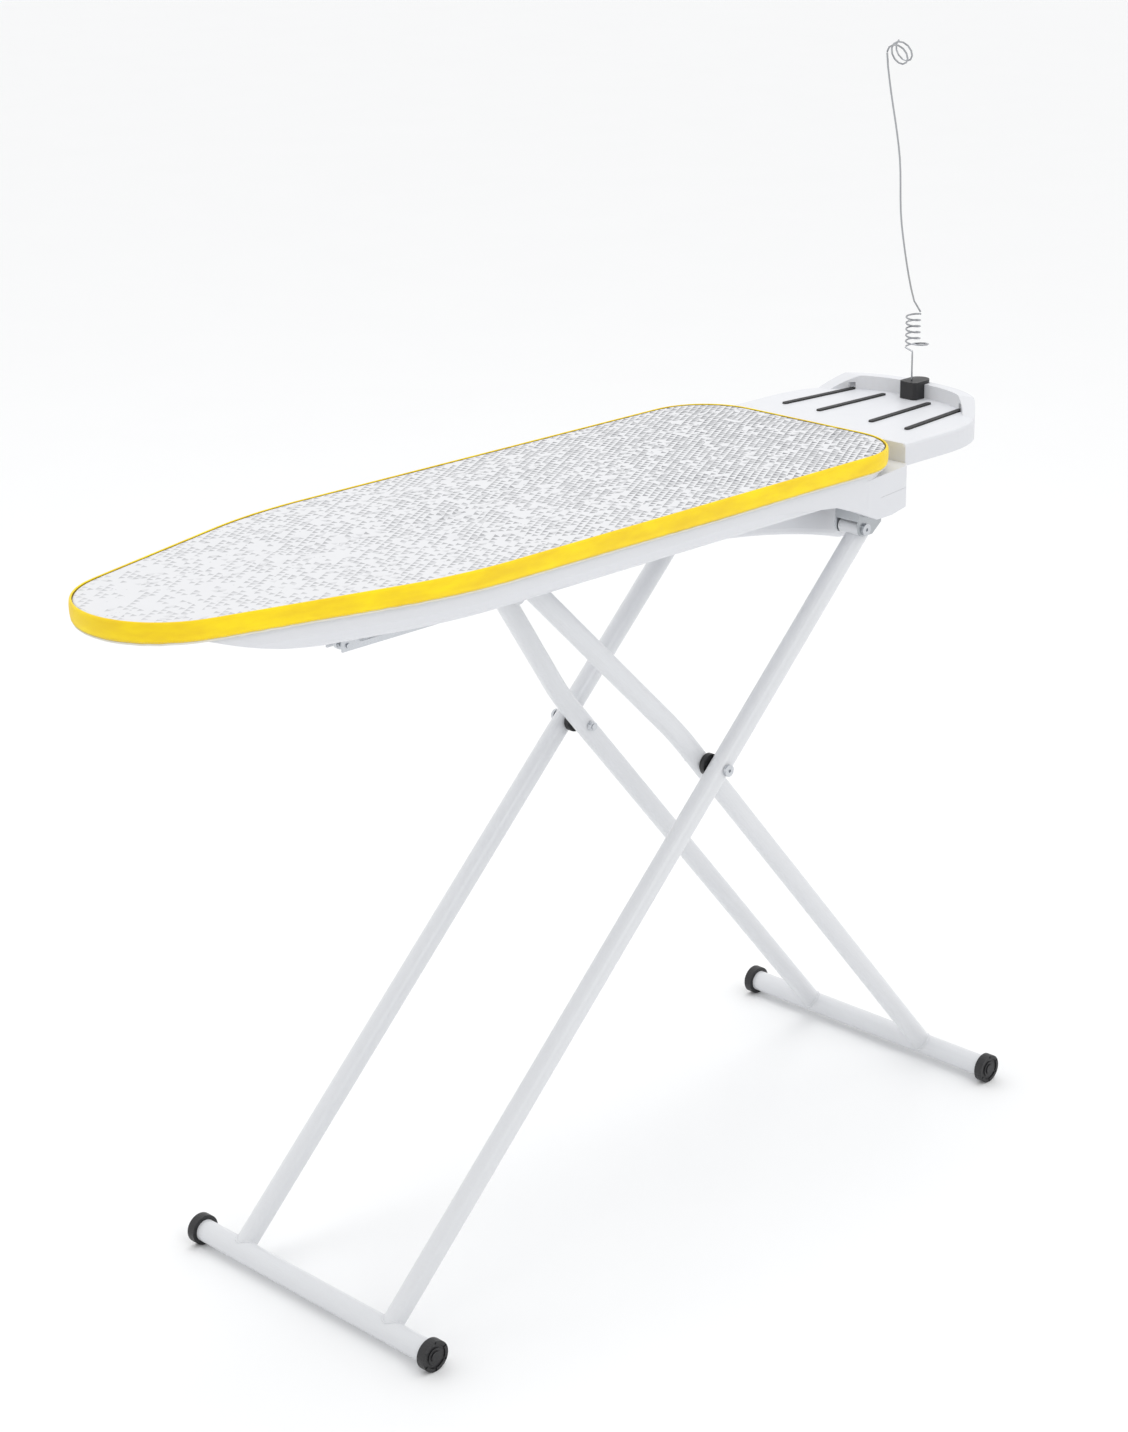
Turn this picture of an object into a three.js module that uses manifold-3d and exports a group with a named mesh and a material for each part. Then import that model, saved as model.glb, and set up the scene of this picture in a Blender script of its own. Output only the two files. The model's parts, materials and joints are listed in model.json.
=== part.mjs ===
// Ironing board with a fan unit under the ironing surface, an iron tray and a wire cord arm.
// Millimetres, +Z up. The board lies along X with its nose at -X and the iron tray at +X.
// The floor is z = 0 and the board is symmetric about the plane y = 0.
// While it is built, x = 0 is midway between the two foot bars; the group at the end is moved
// along X so that the middle of the whole object stands at x = 0.

import * as THREE from 'three';
import { mergeVertices } from 'three/addons/utils/BufferGeometryUtils.js';
import Module from 'manifold-3d';

const wasm = await Module();
wasm.setup();

// ---------------------------------------------------------------- driving dimensions

const gap = 0.3;                    // left between fixed pieces that touch
const degrees = Math.PI / 180;

// Ironing surface
const boardTop = 981;               // ironing surface above the floor
const boardLength = 1200;
const boardHalfWidth = 194;
const rearEdgeX = 382;              // rear edge of the ironing surface
const noseRadius = 115;
const shoulderRadius = 590;
const shoulderDistance = 465;       // nose tip to where the two sides become parallel
const rearCornerRadius = 90;
const coverThickness = 2;
const skirtHeight = 26;
const foamThickness = 8;
const panThickness = 0.9;
const panRimHeight = 11;
const panSlotWidth = 16;
const panSlotLength = 56;
const panSlotPitchX = 84;
const panSlotPitchY = 56;
const panMargin = 24;               // solid border of the slotted pan

// Lower shell, a boat-shaped moulding under the pan. Every "drop" is measured down from the
// ironing surface, and every "inset" inwards from the edge of the cover.
const shellWall = 3;
const shellInset = 11;
const sideWallDrop = 45;
const hullDrop = 67;                // flat underside
const chineWidth = 33;              // how far the rounded lower edge reaches inwards
const hullRearX = 322;
const keelLength = 288;             // from the nose to where the bottom starts to rise
const keelRadius = 573;
const deckDrop = 37;                // casing deck behind the rounded corners of the board
const deckStartX = 240;
const rearWallX = 402;
const casingTaperX = 300;
const casingRearInset = 26;
const casingCornerRadius = 12;
const casingLine = [[110, -22], [237, -6], [276, 8], [322, 28], [359, 30], [403, 26]];  // x, below hull
const bracketRoofDepth = 12;        // casing's underside over each pivot bracket, below the hull
const pocketInset = 29;
const bossRadius = 7;
const shellScrewPlaces = [[-560, 0], [-140, 0]];

// Motor cover, closing the casing from below
const coverFrontX = 331;            // front edge of the two rear lobes
const lobeBeamX = 365;              // the lobes are joined across behind this line
const bellyClearance = 5.2;         // from the belly to the folded inner legs
const bellyFrontX = -40;
const bellyDepthFront = 25;
const bellyDepthRear = 80;
const bellyEdgeRadius = 10;
const ventCount = 8;
const ventWidth = 5;
const ventPitch = 14;
const ventHalfLength = 46;
const coverScrewPlaces = [[20, 0], [384, 0]];
const coverScrewWell = 14;          // screw seat below the joint between cover and shell
const coverBossHeight = 14;

// Scissor frame: outer legs run from the front foot to the rear pivot, inner legs from the
// rear foot to a slider in the rail.
const footSpread = 1091;            // between the two foot bars
const capDiameter = 41;
const capLength = 12;
const capFacets = 32;
const capPlugLength = 24;
const capHubRadius = 7.5;
const capHubHeight = 1.5;
const capRecessRadii = [11.5, 16];
const capNotches = 6;
const barRadius = 15;
const barLength = 436;
const legRadius = 14;
const tubeWall = 1.2;
const crossSpacerLength = 8.1;      // between an outer and an inner leg where they cross
const pivotX = 316;
const pivotDepth = 43;              // below the hull
const pivotOffset = 15;             // rear pivot above the middle line of the outer legs
const crossToPivot = 376;           // along an outer leg, from the crossing bolt
const innerBendRise = 65;           // from the crossing bolt up to where the inner legs bend
const innerBendEasing = 30;
const sliderLegY = 33;              // inner legs at their upper ends
const sleeveRadius = 10;
const sleeveLength = 34;
const sliderSleeveLength = 26;
const legEnd = 5;                   // tube past the middle of its sleeve
const boltRadius = 4;
const boltHeadRadius = 8;
const boltHeadHeight = 4;
const boltKeyRadius = 2.5;
const boltKeyDepth = 2.5;
const nutRadius = 7;
const nutHeight = 6;
const threadPastNut = 1;
const holeClearance = 0.3;
const spacerRadius = 15;

// Pivot brackets under the casing
const bracketWall = 2.5;
const bracketAhead = 12;            // bracket ahead of its bolt
const bracketBehind = 34;
const bracketHeight = 40;
const bracketCorner = 9;
const bracketFrontPlate = 19;
const bracketSleeveClearance = 1;
const pocketClearance = 1.2;

// Rail, slider and lock
const railHalfWidth = 15.5;
const railWall = 2.5;
const railDepth = 59;               // lower edges of the rail, below the hull
const railEndMargin = 32;           // rail past the last place of the slider, front and rear
const railScrewBehind = 12;         // rear rail screw behind the slider's working place
const railScrewPitch = 122;
const axleRadius = 5;
const axleLength = 96;
const glideRadius = 8;
const glideLength = 6;
const glideSideClearance = 1;
const slotClearance = 0.5;
const lockHalfThickness = 3;
const lockBarDepth = 9;
const lockGap = 0.5;                // lock bar below the axle
const notchCount = 7;
const notchPitch = 33;
const notchDepth = 4;
const lockPinRadius = 3;
const lockEyeRadius = 7.5;
const leverReach = 112;             // lock bar past the rear end of the rail
const gripHalfWidth = 9;
const gripLength = 70;
const gripHeight = 15;
const springWireRadius = 0.7;
const springTurns = 3;
const springPitch = 1.9;

// Iron tray
const trayDeckDrop = 11;
const trayDepth = 30;
const trayWall = 3;
const trayInset = 34;
const trayStraight = 78;            // straight sides behind the casing
const trayRound = 158;              // length of the rounded end
const trayPower = 2.5;              // fullness of the rounded end
const trayEdge = 4;
const lipHeight = 20;
const lipWidth = 16;
const lipRampLength = 34;
const lipLevelLength = 34;          // level part of the lip, ahead of the tray's end
const flangeHalfWidth = 100;
const flangeDrop = 24;              // mounting flange below the tray's lower edge
const ribSpacing = 52;
const ribHalfThickness = 1.2;
const stripWidth = 8;
const stripHeight = 4;
const stripSeat = 2;
const stripStart = 65;              // behind the casing
const stripEnd = 40;                // ahead of the tray's end
const stripPlaces = [[110, 97], [47, 41], [-47, -41], [-110, -97]];   // y at front and rear
const trayScrewY = 70;

// Cord arm: a wire that stands in a socket clipped over the tray's lip
const wireRadius = 1.25;
const socketHalfWidth = 15;
const socketLength = 38;            // ahead of the tray's end
const socketCorner = 4;
const socketRise = 5;               // above the lip
const socketHook = 4;
const armInset = 27;                // arm ahead of the tray's end
const armFootDepth = 20;
const armStemRise = 56;             // straight foot of the arm above the ironing surface
const coilRadius = 10;
const coilPitch = 8.6;
const coilTurns = 5.5;
const coilLead = 6;
const coilStart = 135 * degrees;
const largeTurnRadius = 16;
const stepsPerTurn = 12;
const armLean = [[22, 237], [30, 332], [54, 431], [62, 471]];   // forwards, up from the ironing surface
const ringRadius = 15.3;
const ringTurns = 2.1;
const ringPitch = 10;
const ringTilt = 20 * degrees;
const ringStartAngle = 19 * degrees;
const ringNeck = 6;

// Fan unit and electrical fittings
const fanX = 240;
const scrollClearance = 10;         // from the scroll to the inside of the belly
const scrollWall = 2.5;
const scrollHeight = 32;
const impellerClearance = 12.5;
const impellerHeight = 24;
const bladeCount = 11;
const bladeThickness = 2;
const bladeLength = 28;
const bladeAngle = 35 * degrees;
const inletRadius = 34;
const fanOutletHalfWidth = 26;
const fanOpeningAhead = 60;         // opening in the hull's floor ahead of the scroll
const shaftRadius = 3;
const motorRadius = 27;
const motorHeight = 38;
const motorPlateThickness = 2;
const motorPlateLap = 10;           // plate resting on the hull's floor at each side
const fittingY = 134;               // mains inlet and switch, on the rear wall
const fittingDrop = 54;
const inletHalfWidth = 13;
const inletHalfHeight = 9;
const inletDepth = 20;
const fittingFlange = 3;
const fittingFlangeThickness = 1.6;
const fittingWall = 2;
const pinPitch = 6;
const rockerHalfWidth = 9;
const rockerHalfHeight = 5.5;
const rockerDepth = 9;
const rockerTilt = 7 * degrees;     // to each side; the rocker is drawn switched off
const rockerPivotDepth = 4;
const screwRadius = 2;
const screwHeadRadius = 4;
const screwHeadHeight = 2.5;

// ---------------------------------------------------------------- places that follow from them

const noseX = rearEdgeX - boardLength;
const skirtBottom = boardTop - skirtHeight;
const foamTop = boardTop - coverThickness - gap;
const panTop = foamTop - foamThickness - gap;
const shellTop = panTop - panThickness - gap;
const shellHalfWidth = boardHalfWidth - shellInset;
const sideWallBottom = boardTop - sideWallDrop;
const hullBottom = boardTop - hullDrop;
const deckZ = boardTop - deckDrop;
const keelStartX = noseX + keelLength;
const lobeBottomZ = hullBottom - Math.max(...casingLine.map(([, depth]) => depth));
const bracketRoofZ = hullBottom - bracketRoofDepth;
const pocketOuterY = boardHalfWidth - pocketInset;
const casingRearHalfWidth = boardHalfWidth - casingRearInset;
const matingZ = hullBottom - gap;

const capRadius = capDiameter / 2;
const footX = footSpread / 2;
const pivotZ = hullBottom - pivotDepth;
const cheekInner = sleeveLength / 2 + bracketSleeveClearance;
const outerLegY = pocketOuterY - pocketClearance - bracketWall - cheekInner;
const innerLegY = outerLegY - crossSpacerLength - 2 * legRadius;
const bellyHalfWidth = innerLegY - legRadius - bellyClearance;
const bracketFrontX = pivotX - bracketAhead;
const bracketRearX = pivotX + bracketBehind;

// The outer legs pass below the rear pivot, and the crossing bolt lies on them.
const pivotReach = Math.hypot(pivotX + footX, pivotZ - capRadius);
const legSlope = Math.atan2(pivotZ - capRadius, pivotX + footX) - Math.asin(pivotOffset / pivotReach);
const crossReach = Math.sqrt(pivotReach ** 2 - pivotOffset ** 2) - crossToPivot;
const crossX = crossReach * Math.cos(legSlope) - footX;
const crossZ = crossReach * Math.sin(legSlope) + capRadius;
const armReach = Math.hypot(crossX - pivotX, crossZ - pivotZ);
const sliderX = 2 * crossX - pivotX;            // slider mirrors the rear pivot about the crossing
const sliderFoldedX = pivotX - 2 * armReach;
const railBottomZ = hullBottom - railDepth;
const railFrontX = sliderFoldedX - railEndMargin;
const railRearX = sliderX + railEndMargin;

const trayDeckZ = boardTop - trayDeckDrop;
const trayHalfWidth = boardHalfWidth - trayInset;
const trayFrontX = rearWallX + gap;
const trayBottomZ = trayDeckZ - trayDepth;
const traySideEnd = rearWallX + trayStraight;
const trayRearX = traySideEnd + trayRound;
const lipRampEnd = trayRearX - lipLevelLength;
const lipRampStart = lipRampEnd - lipRampLength;
const stripFrontX = rearWallX + stripStart;
const stripRearX = trayRearX - stripEnd;
const socketFrontX = trayRearX - socketLength;
const armX = trayRearX - armInset;
const armStemTop = boardTop + armStemRise;
const scrollRadius = bellyHalfWidth - shellWall - scrollClearance;
const impellerRadius = scrollRadius - scrollWall - impellerClearance;
const fittingZ = boardTop - fittingDrop;

// ---------------------------------------------------------------- helpers

function solid(geometry) {
  const bare = geometry.clone();
  bare.deleteAttribute('normal');
  bare.deleteAttribute('uv');
  const merged = mergeVertices(bare, 1e-4);
  return new wasm.Manifold(new wasm.Mesh({
    numProp: 3,
    vertProperties: new Float32Array(merged.attributes.position.array),
    triVerts: new Uint32Array(merged.index.array),
  }));
}

function geometryOf(shape) {
  const mesh = shape.getMesh();
  const geometry = new THREE.BufferGeometry();
  geometry.setAttribute('position', new THREE.BufferAttribute(mesh.vertProperties, 3));
  geometry.setIndex(new THREE.BufferAttribute(mesh.triVerts, 1));
  geometry.computeVertexNormals();
  return geometry;
}

function box(x0, x1, y0, y1, z0, z1) {
  const geometry = new THREE.BoxGeometry(x1 - x0, y1 - y0, z1 - z0);
  geometry.translate((x0 + x1) / 2, (y0 + y1) / 2, (z0 + z1) / 2);
  return solid(geometry);
}

// A plan outline standing from z0 to z1.
function prism(shape, z0, z1, curveSegments = 8) {
  const options = { depth: z1 - z0, bevelEnabled: false, curveSegments };
  const geometry = new THREE.ExtrudeGeometry(shape, options);
  geometry.translate(0, 0, z0);
  return solid(geometry);
}

// A plan outline with both edges rounded inwards.
function roundedPrism(shape, z0, z1, inwards, upwards, rounding, curveSegments = 8) {
  const geometry = new THREE.ExtrudeGeometry(shape, {
    depth: z1 - z0 - 2 * upwards,
    bevelEnabled: true,
    bevelThickness: upwards,
    bevelSize: inwards,
    bevelOffset: -inwards,
    bevelSegments: rounding,
    curveSegments,
  });
  geometry.translate(0, 0, z0 + upwards);
  return solid(geometry);
}

// An outline drawn in X and Z, standing from y0 to y1.
function profile(shape, y0, y1, curveSegments = 8) {
  const options = { depth: y1 - y0, bevelEnabled: false, curveSegments };
  const geometry = new THREE.ExtrudeGeometry(shape, options);
  geometry.rotateX(Math.PI / 2);
  geometry.translate(0, y1, 0);
  return solid(geometry);
}

function outline(points) {
  return new THREE.Shape(points.map(([a, b]) => new THREE.Vector2(a, b)));
}

function point(x, y, z) {
  return new THREE.Vector3(x, y, z);
}

function rod(from, to, radius, sides = 24) {
  const along = to.clone().sub(from);
  const geometry = new THREE.CylinderGeometry(radius, radius, along.length(), sides);
  geometry.applyQuaternion(new THREE.Quaternion().setFromUnitVectors(
    new THREE.Vector3(0, 1, 0), along.clone().normalize()));
  geometry.translate(...from.clone().add(to).multiplyScalar(0.5).toArray());
  return solid(geometry);
}

// A rod across the board, between two places along Y.
function crossRod(x, z, y0, y1, radius, sides = 24) {
  return rod(point(x, y0, z), point(x, y1, z), radius, sides);
}

function upright(x, y, z0, z1, radius, sides = 24) {
  return rod(point(x, y, z0), point(x, y, z1), radius, sides);
}

// A path that has one step to each of its places, turning evenly at each of them.
class Route extends THREE.Curve {
  constructor(places) {
    super();
    this.places = places;
  }

  index(share) {
    return Math.round(share * (this.places.length - 1));
  }

  getPoint(share) {
    return this.places[this.index(share)].clone();
  }

  getPointAt(share) {
    return this.getPoint(share);
  }

  getTangentAt(share) {
    const i = this.index(share);
    const here = this.places[i];
    const before = this.places[i - 1] ?? here;
    const after = this.places[i + 1] ?? here;
    const back = here.clone().sub(before).normalize();
    return after.clone().sub(here).normalize().add(back).normalize();
  }
}

// A bar of round section through the given places.
function wire(places, radius, sides = 8) {
  const section = new THREE.Shape().absarc(0, 0, radius, 0, 2 * Math.PI);
  return solid(new THREE.ExtrudeGeometry(section, {
    steps: places.length - 1,
    extrudePath: new Route(places),
    bevelEnabled: false,
    curveSegments: sides / 2,
  }));
}

function join(...shapes) {
  return shapes.reduce((sum, shape) => sum.add(shape));
}

function cut(shape, ...tools) {
  return tools.reduce((rest, tool) => rest.subtract(tool), shape);
}

const sides = [['near', -1], ['far', 1]];
const board = new THREE.Group();

function add(name, shape, finish) {
  const mesh = new THREE.Mesh(geometryOf(shape), new THREE.MeshStandardMaterial(finish));
  mesh.name = name;
  board.add(mesh);
}

const whitePlastic = { color: 0xeceef0, roughness: 0.45, metalness: 0 };
const whitePaint = { color: 0xe9ecef, roughness: 0.35, metalness: 0.1 };
const blackPlastic = { color: 0x17181a, roughness: 0.5, metalness: 0 };
const blackRubber = { color: 0x111213, roughness: 0.8, metalness: 0 };
const zincSteel = { color: 0xb4b8bd, roughness: 0.35, metalness: 0.9 };
const greySteel = { color: 0x8f9499, roughness: 0.4, metalness: 0.8 };
const chrome = { color: 0xc9ccd0, roughness: 0.15, metalness: 1 };
const patternedCotton = { color: 0xc9cbce, roughness: 0.9, metalness: 0 };
const paleFoam = { color: 0xe6e0c8, roughness: 0.95, metalness: 0 };
const greyPlastic = { color: 0x9a9da1, roughness: 0.5, metalness: 0 };

// ---------------------------------------------------------------- plan outlines

// Angle between the board's middle line and its straight edges behind the nose.
function noseTaper() {
  const dx = shoulderDistance - noseRadius;
  const dy = shoulderRadius - boardHalfWidth;
  return Math.atan2(dx, dy) - Math.acos((shoulderRadius - noseRadius) / Math.hypot(dx, dy));
}

// Outline of the ironing surface, moved inwards all round by the inset.
function boardOutline(inset) {
  const shoulderX = noseX + shoulderDistance;
  const dy = boardHalfWidth - shoulderRadius;
  const taper = noseTaper();
  const cornerX = rearEdgeX - rearCornerRadius;
  const cornerY = boardHalfWidth - rearCornerRadius;
  const half = Math.PI / 2;
  const shape = new THREE.Shape();
  shape.absarc(cornerX, cornerY, rearCornerRadius - inset, 0, half, false);
  shape.absarc(shoulderX, dy, shoulderRadius - inset, half, half + taper, false);
  shape.absarc(noseX + noseRadius, 0, noseRadius - inset, half + taper, 3 * half - taper, false);
  shape.absarc(shoulderX, -dy, shoulderRadius - inset, 3 * half - taper, 3 * half, false);
  shape.absarc(cornerX, -cornerY, rearCornerRadius - inset, 3 * half, 4 * half, false);
  return shape;
}

// Outline of the shell: the board's nose and sides, then a tapered casing up to the rear wall.
function shellOutline(inset) {
  const taper = Math.atan2(shellHalfWidth - casingRearHalfWidth, rearWallX - casingTaperX);
  const cornerX = rearWallX - casingCornerRadius;
  const reach = casingCornerRadius + (cornerX - casingTaperX) * Math.sin(taper);
  const cornerY = shellHalfWidth - reach / Math.cos(taper);
  const turnX = casingTaperX - inset * Math.tan(taper / 2);
  const sideY = shellHalfWidth - inset;
  const shoulderX = noseX + shoulderDistance;
  const dy = boardHalfWidth - shoulderRadius;
  const nose = noseTaper();
  const half = Math.PI / 2;
  const total = shellInset + inset;
  const shape = new THREE.Shape();
  shape.absarc(cornerX, cornerY, casingCornerRadius - inset, 0, half - taper, false);
  shape.lineTo(turnX, sideY);
  shape.absarc(shoulderX, dy, shoulderRadius - total, half, half + nose, false);
  shape.absarc(noseX + noseRadius, 0, noseRadius - total, half + nose, 3 * half - nose, false);
  shape.absarc(shoulderX, -dy, shoulderRadius - total, 3 * half - nose, 3 * half, false);
  shape.lineTo(turnX, -sideY);
  shape.absarc(cornerX, -cornerY, casingCornerRadius - inset, taper - half, 0, false);
  return shape;
}

// Outline of the iron tray: straight sides and a full round end.
function trayOutline(inset) {
  const steps = 18;
  const points = [[trayFrontX, -trayHalfWidth + inset]];
  for (let i = -steps; i <= steps; i += 1) {
    const angle = (i / steps) * Math.PI / 2;
    const reach = Math.cos(angle) ** (2 / trayPower);
    const width = Math.sign(angle) * Math.abs(Math.sin(angle)) ** (2 / trayPower);
    points.push([traySideEnd + (trayRound - inset) * reach, (trayHalfWidth - inset) * width]);
  }
  points.push([trayFrontX, trayHalfWidth - inset]);
  return outline(points);
}

// ---------------------------------------------------------------- ironing surface

function buildCover() {
  const cap = cut(
    prism(boardOutline(0), skirtBottom, boardTop),
    prism(boardOutline(coverThickness), skirtBottom - 1, boardTop - coverThickness));
  add('cover_fabric', cap, patternedCotton);
}

function buildFoam() {
  const foam = prism(boardOutline(coverThickness + gap), foamTop - foamThickness, foamTop);
  add('foam_pad', foam, paleFoam);
}

// Whether a place lies inside a closed outline.
function isInside(border, x, y) {
  let inside = false;
  border.forEach((here, i) => {
    const next = border[(i + 1) % border.length];
    const across = (next.x - here.x) * (y - here.y) / (next.y - here.y) + here.x;
    if ((here.y > y) !== (next.y > y) && x < across) {
      inside = !inside;
    }
  });
  return inside;
}

function panSlots() {
  const border = boardOutline(panMargin).getPoints(8);
  const half = panSlotWidth / 2;
  const slots = [];
  for (let x = noseX + panSlotPitchX; x < rearEdgeX; x += panSlotPitchX) {
    for (let row = -3; row <= 3; row += 1) {
      const y = row * panSlotPitchY;
      const corners = [[x, y - half], [x, y + half], [x + panSlotLength, y - half],
        [x + panSlotLength, y + half]];
      if (corners.every((corner) => isInside(border, ...corner))) {
        slots.push([x, y]);
      }
    }
  }
  return slots;
}

function buildPan() {
  const inset = coverThickness + gap;
  const slots = panSlots().map(([x, y]) => box(x, x + panSlotLength,
    y - panSlotWidth / 2, y + panSlotWidth / 2, panTop - 10, panTop + 10));
  const plate = cut(prism(boardOutline(inset), panTop - panThickness, panTop, 4), ...slots);
  const rim = cut(
    prism(boardOutline(inset), panTop - panThickness - panRimHeight, panTop - panThickness / 2, 4),
    prism(boardOutline(inset + panThickness), panTop - 100, panTop + 1, 4));
  add('mesh_top', join(plate, rim), zincSteel);
}

// ---------------------------------------------------------------- lower shell and casing

// Everything above the keel line, which rises towards the nose.
function aboveKeel(rise) {
  const sweep = Math.asin((keelStartX - noseX + 20) / keelRadius);
  const bottom = hullBottom + rise;
  const shape = new THREE.Shape();
  shape.moveTo(keelStartX, bottom);
  shape.lineTo(keelStartX, bottom - 200);
  shape.lineTo(rearWallX + 50, bottom - 200);
  shape.lineTo(rearWallX + 50, bottom + 300);
  shape.lineTo(noseX - 20, bottom + 300);
  shape.absarc(keelStartX, bottom + keelRadius, keelRadius, 1.5 * Math.PI - sweep, 1.5 * Math.PI, false);
  return profile(shape, -300, 300, 8);
}

// The lower line of the casing sides, seen from the side.
function casingSide(rise) {
  const top = shellTop + 20;
  const line = casingLine.map(([x, depth]) => [x, hullBottom - depth + rise]);
  const frontX = casingLine[0][0];
  const rearX = casingLine[casingLine.length - 1][0];
  return outline([[frontX, top], ...line, [rearX, top]]);
}

// The shell's outer body, or the hollow inside it when an inset is given.
function shellBody(inset) {
  const top = shellTop + (inset > 0 ? 1 : 0);
  const upper = prism(shellOutline(inset), sideWallBottom + inset, top);
  const front = box(noseX - 10, hullRearX - inset, -300, 300, hullBottom - 10, top + 10);
  const hull = roundedPrism(boardOutline(shellInset + inset), hullBottom + inset, top + 40,
    chineWidth - inset, sideWallBottom - hullBottom, 3);
  const casing = prism(shellOutline(inset), lobeBottomZ - 5, top).intersect(
    profile(casingSide(inset), -300, 300));
  const pocket = box(deckStartX - 20, rearWallX + 10, -pocketOuterY - inset, pocketOuterY + inset,
    lobeBottomZ - 20, bracketRoofZ + inset);
  const bellyRoom = bellyHalfWidth + gap + 4;
  const belly = box(deckStartX - 20, rearWallX + 10, -bellyRoom, bellyRoom,
    lobeBottomZ - 20, hullBottom + inset);
  const whole = join(upper, hull.intersect(front).intersect(prism(shellOutline(inset), 0, top)),
    cut(casing, pocket, belly));
  return whole.intersect(aboveKeel(inset));
}

// The step down from the pan to the deck, around the rear corners of the board.
function deckStep(grow) {
  const slab = box(deckStartX, rearWallX + 20, -300, 300, deckZ - grow, shellTop + 50);
  return cut(slab, prism(boardOutline(shellInset + grow), deckZ - 50, shellTop + 60));
}

// The opening in the rear wall for the mains inlet or the switch.
function fittingHole(y) {
  const halfWidth = inletHalfWidth + gap;
  const halfHeight = inletHalfHeight + gap;
  return box(rearWallX - 10, rearWallX + 10, y - halfWidth, y + halfWidth,
    fittingZ - halfHeight, fittingZ + halfHeight);
}

// Bosses that the screws from below run into, and the holes in them.
function shellBosses() {
  const bosses = shellScrewPlaces.map(
    ([x, y]) => upright(x, y, hullBottom + 1, shellTop, bossRadius, 12));
  for (const [x, y] of coverScrewPlaces) {
    bosses.push(upright(x, y, hullBottom, hullBottom + coverBossHeight, bossRadius, 12));
  }
  const [x, y] = coverScrewPlaces[coverScrewPlaces.length - 1];
  bosses.push(upright(x, y, hullBottom, deckZ - 1, bossRadius, 12));
  return bosses.map((boss) => boss.intersect(aboveKeel(0)));
}

function shellHoles() {
  const hole = screwRadius + holeClearance;
  const holes = shellScrewPlaces.map(([x, y]) => upright(x, y, hullBottom - 10, shellTop + 1, hole, 12));
  for (const [x, y] of shellScrewPlaces) {
    const seat = bottomAt(x) + screwHeadHeight + gap;
    holes.push(upright(x, y, hullBottom - 20, seat, screwHeadRadius + gap, 12));
  }
  for (const [x, y] of coverScrewPlaces) {
    holes.push(upright(x, y, hullBottom - 10, hullBottom + coverBossHeight - 1, hole, 12));
  }
  for (const [y, z] of trayScrewPlaces()) {
    holes.push(rod(point(rearWallX - 12, y, z), point(rearWallX + 5, y, z), hole, 12));
  }
  return [...holes, ...railHoles(), fittingHole(fittingY), fittingHole(-fittingY)];
}

function buildShell() {
  const hollow = cut(shellBody(shellWall), deckStep(shellWall));
  const rearOpening = cut(
    prism(shellOutline(shellWall), lobeBottomZ - 10, hullBottom + shellWall + 1),
    box(-900, coverFrontX + shellWall, -300, 300, 0, boardTop));
  const underside = box(coverFrontX, rearWallX + 10, -300, 300, 0, hullBottom);
  const fanOpening = box(fanX - scrollRadius - fanOpeningAhead, coverFrontX + 10,
    -scrollRadius - 5, scrollRadius + 5, hullBottom - 20, hullBottom + 10);
  const shell = cut(shellBody(0), deckStep(0), hollow, rearOpening, underside, fanOpening);
  add('lower_shell', cut(join(shell, ...shellBosses()), ...shellHoles()), whitePlastic);
}

// Height of the shell's underside at a place along the board.
function bottomAt(x) {
  const ahead = Math.max(keelStartX - x, 0);
  return hullBottom + keelRadius - Math.sqrt(keelRadius ** 2 - ahead ** 2);
}

function buildShellScrews() {
  shellScrewPlaces.forEach(([x, y], i) => {
    const head = bottomAt(x);
    const screw = join(
      upright(x, y, head, head + screwHeadHeight, screwHeadRadius, 12),
      upright(x, y, head + screwHeadHeight / 2, shellTop - 2, screwRadius, 12));
    add(`shell_screw_${i + 1}`, screw, zincSteel);
  });
}

// ---------------------------------------------------------------- motor cover

// Side view of the belly, deeper towards the rear.
function bellySide(inset) {
  const top = hullBottom + 40;
  const rear = rearWallX - inset;
  const front = bellyFrontX + 2 * inset;
  const shape = new THREE.Shape();
  shape.moveTo(front, top);
  shape.lineTo(front, hullBottom);
  shape.quadraticCurveTo(front + 40, hullBottom - bellyDepthFront + inset + 4,
    front + 90, hullBottom - bellyDepthFront + inset);
  shape.quadraticCurveTo(fanX, hullBottom - bellyDepthFront - 18 + inset,
    rear - 40, hullBottom - bellyDepthRear + inset);
  shape.quadraticCurveTo(rear, hullBottom - bellyDepthRear - 6 + inset, rear, hullBottom - 45);
  shape.lineTo(rear, top);
  return shape;
}

function bellyBody(inset) {
  const geometry = new THREE.ExtrudeGeometry(bellySide(inset), {
    depth: 2 * (bellyHalfWidth - inset - bellyEdgeRadius),
    bevelEnabled: true,
    bevelThickness: bellyEdgeRadius,
    bevelSize: bellyEdgeRadius,
    bevelOffset: -bellyEdgeRadius,
    bevelSegments: 3,
    curveSegments: 10,
  });
  geometry.rotateX(Math.PI / 2);
  geometry.translate(0, bellyHalfWidth - inset - bellyEdgeRadius, 0);
  return solid(geometry);
}

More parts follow.
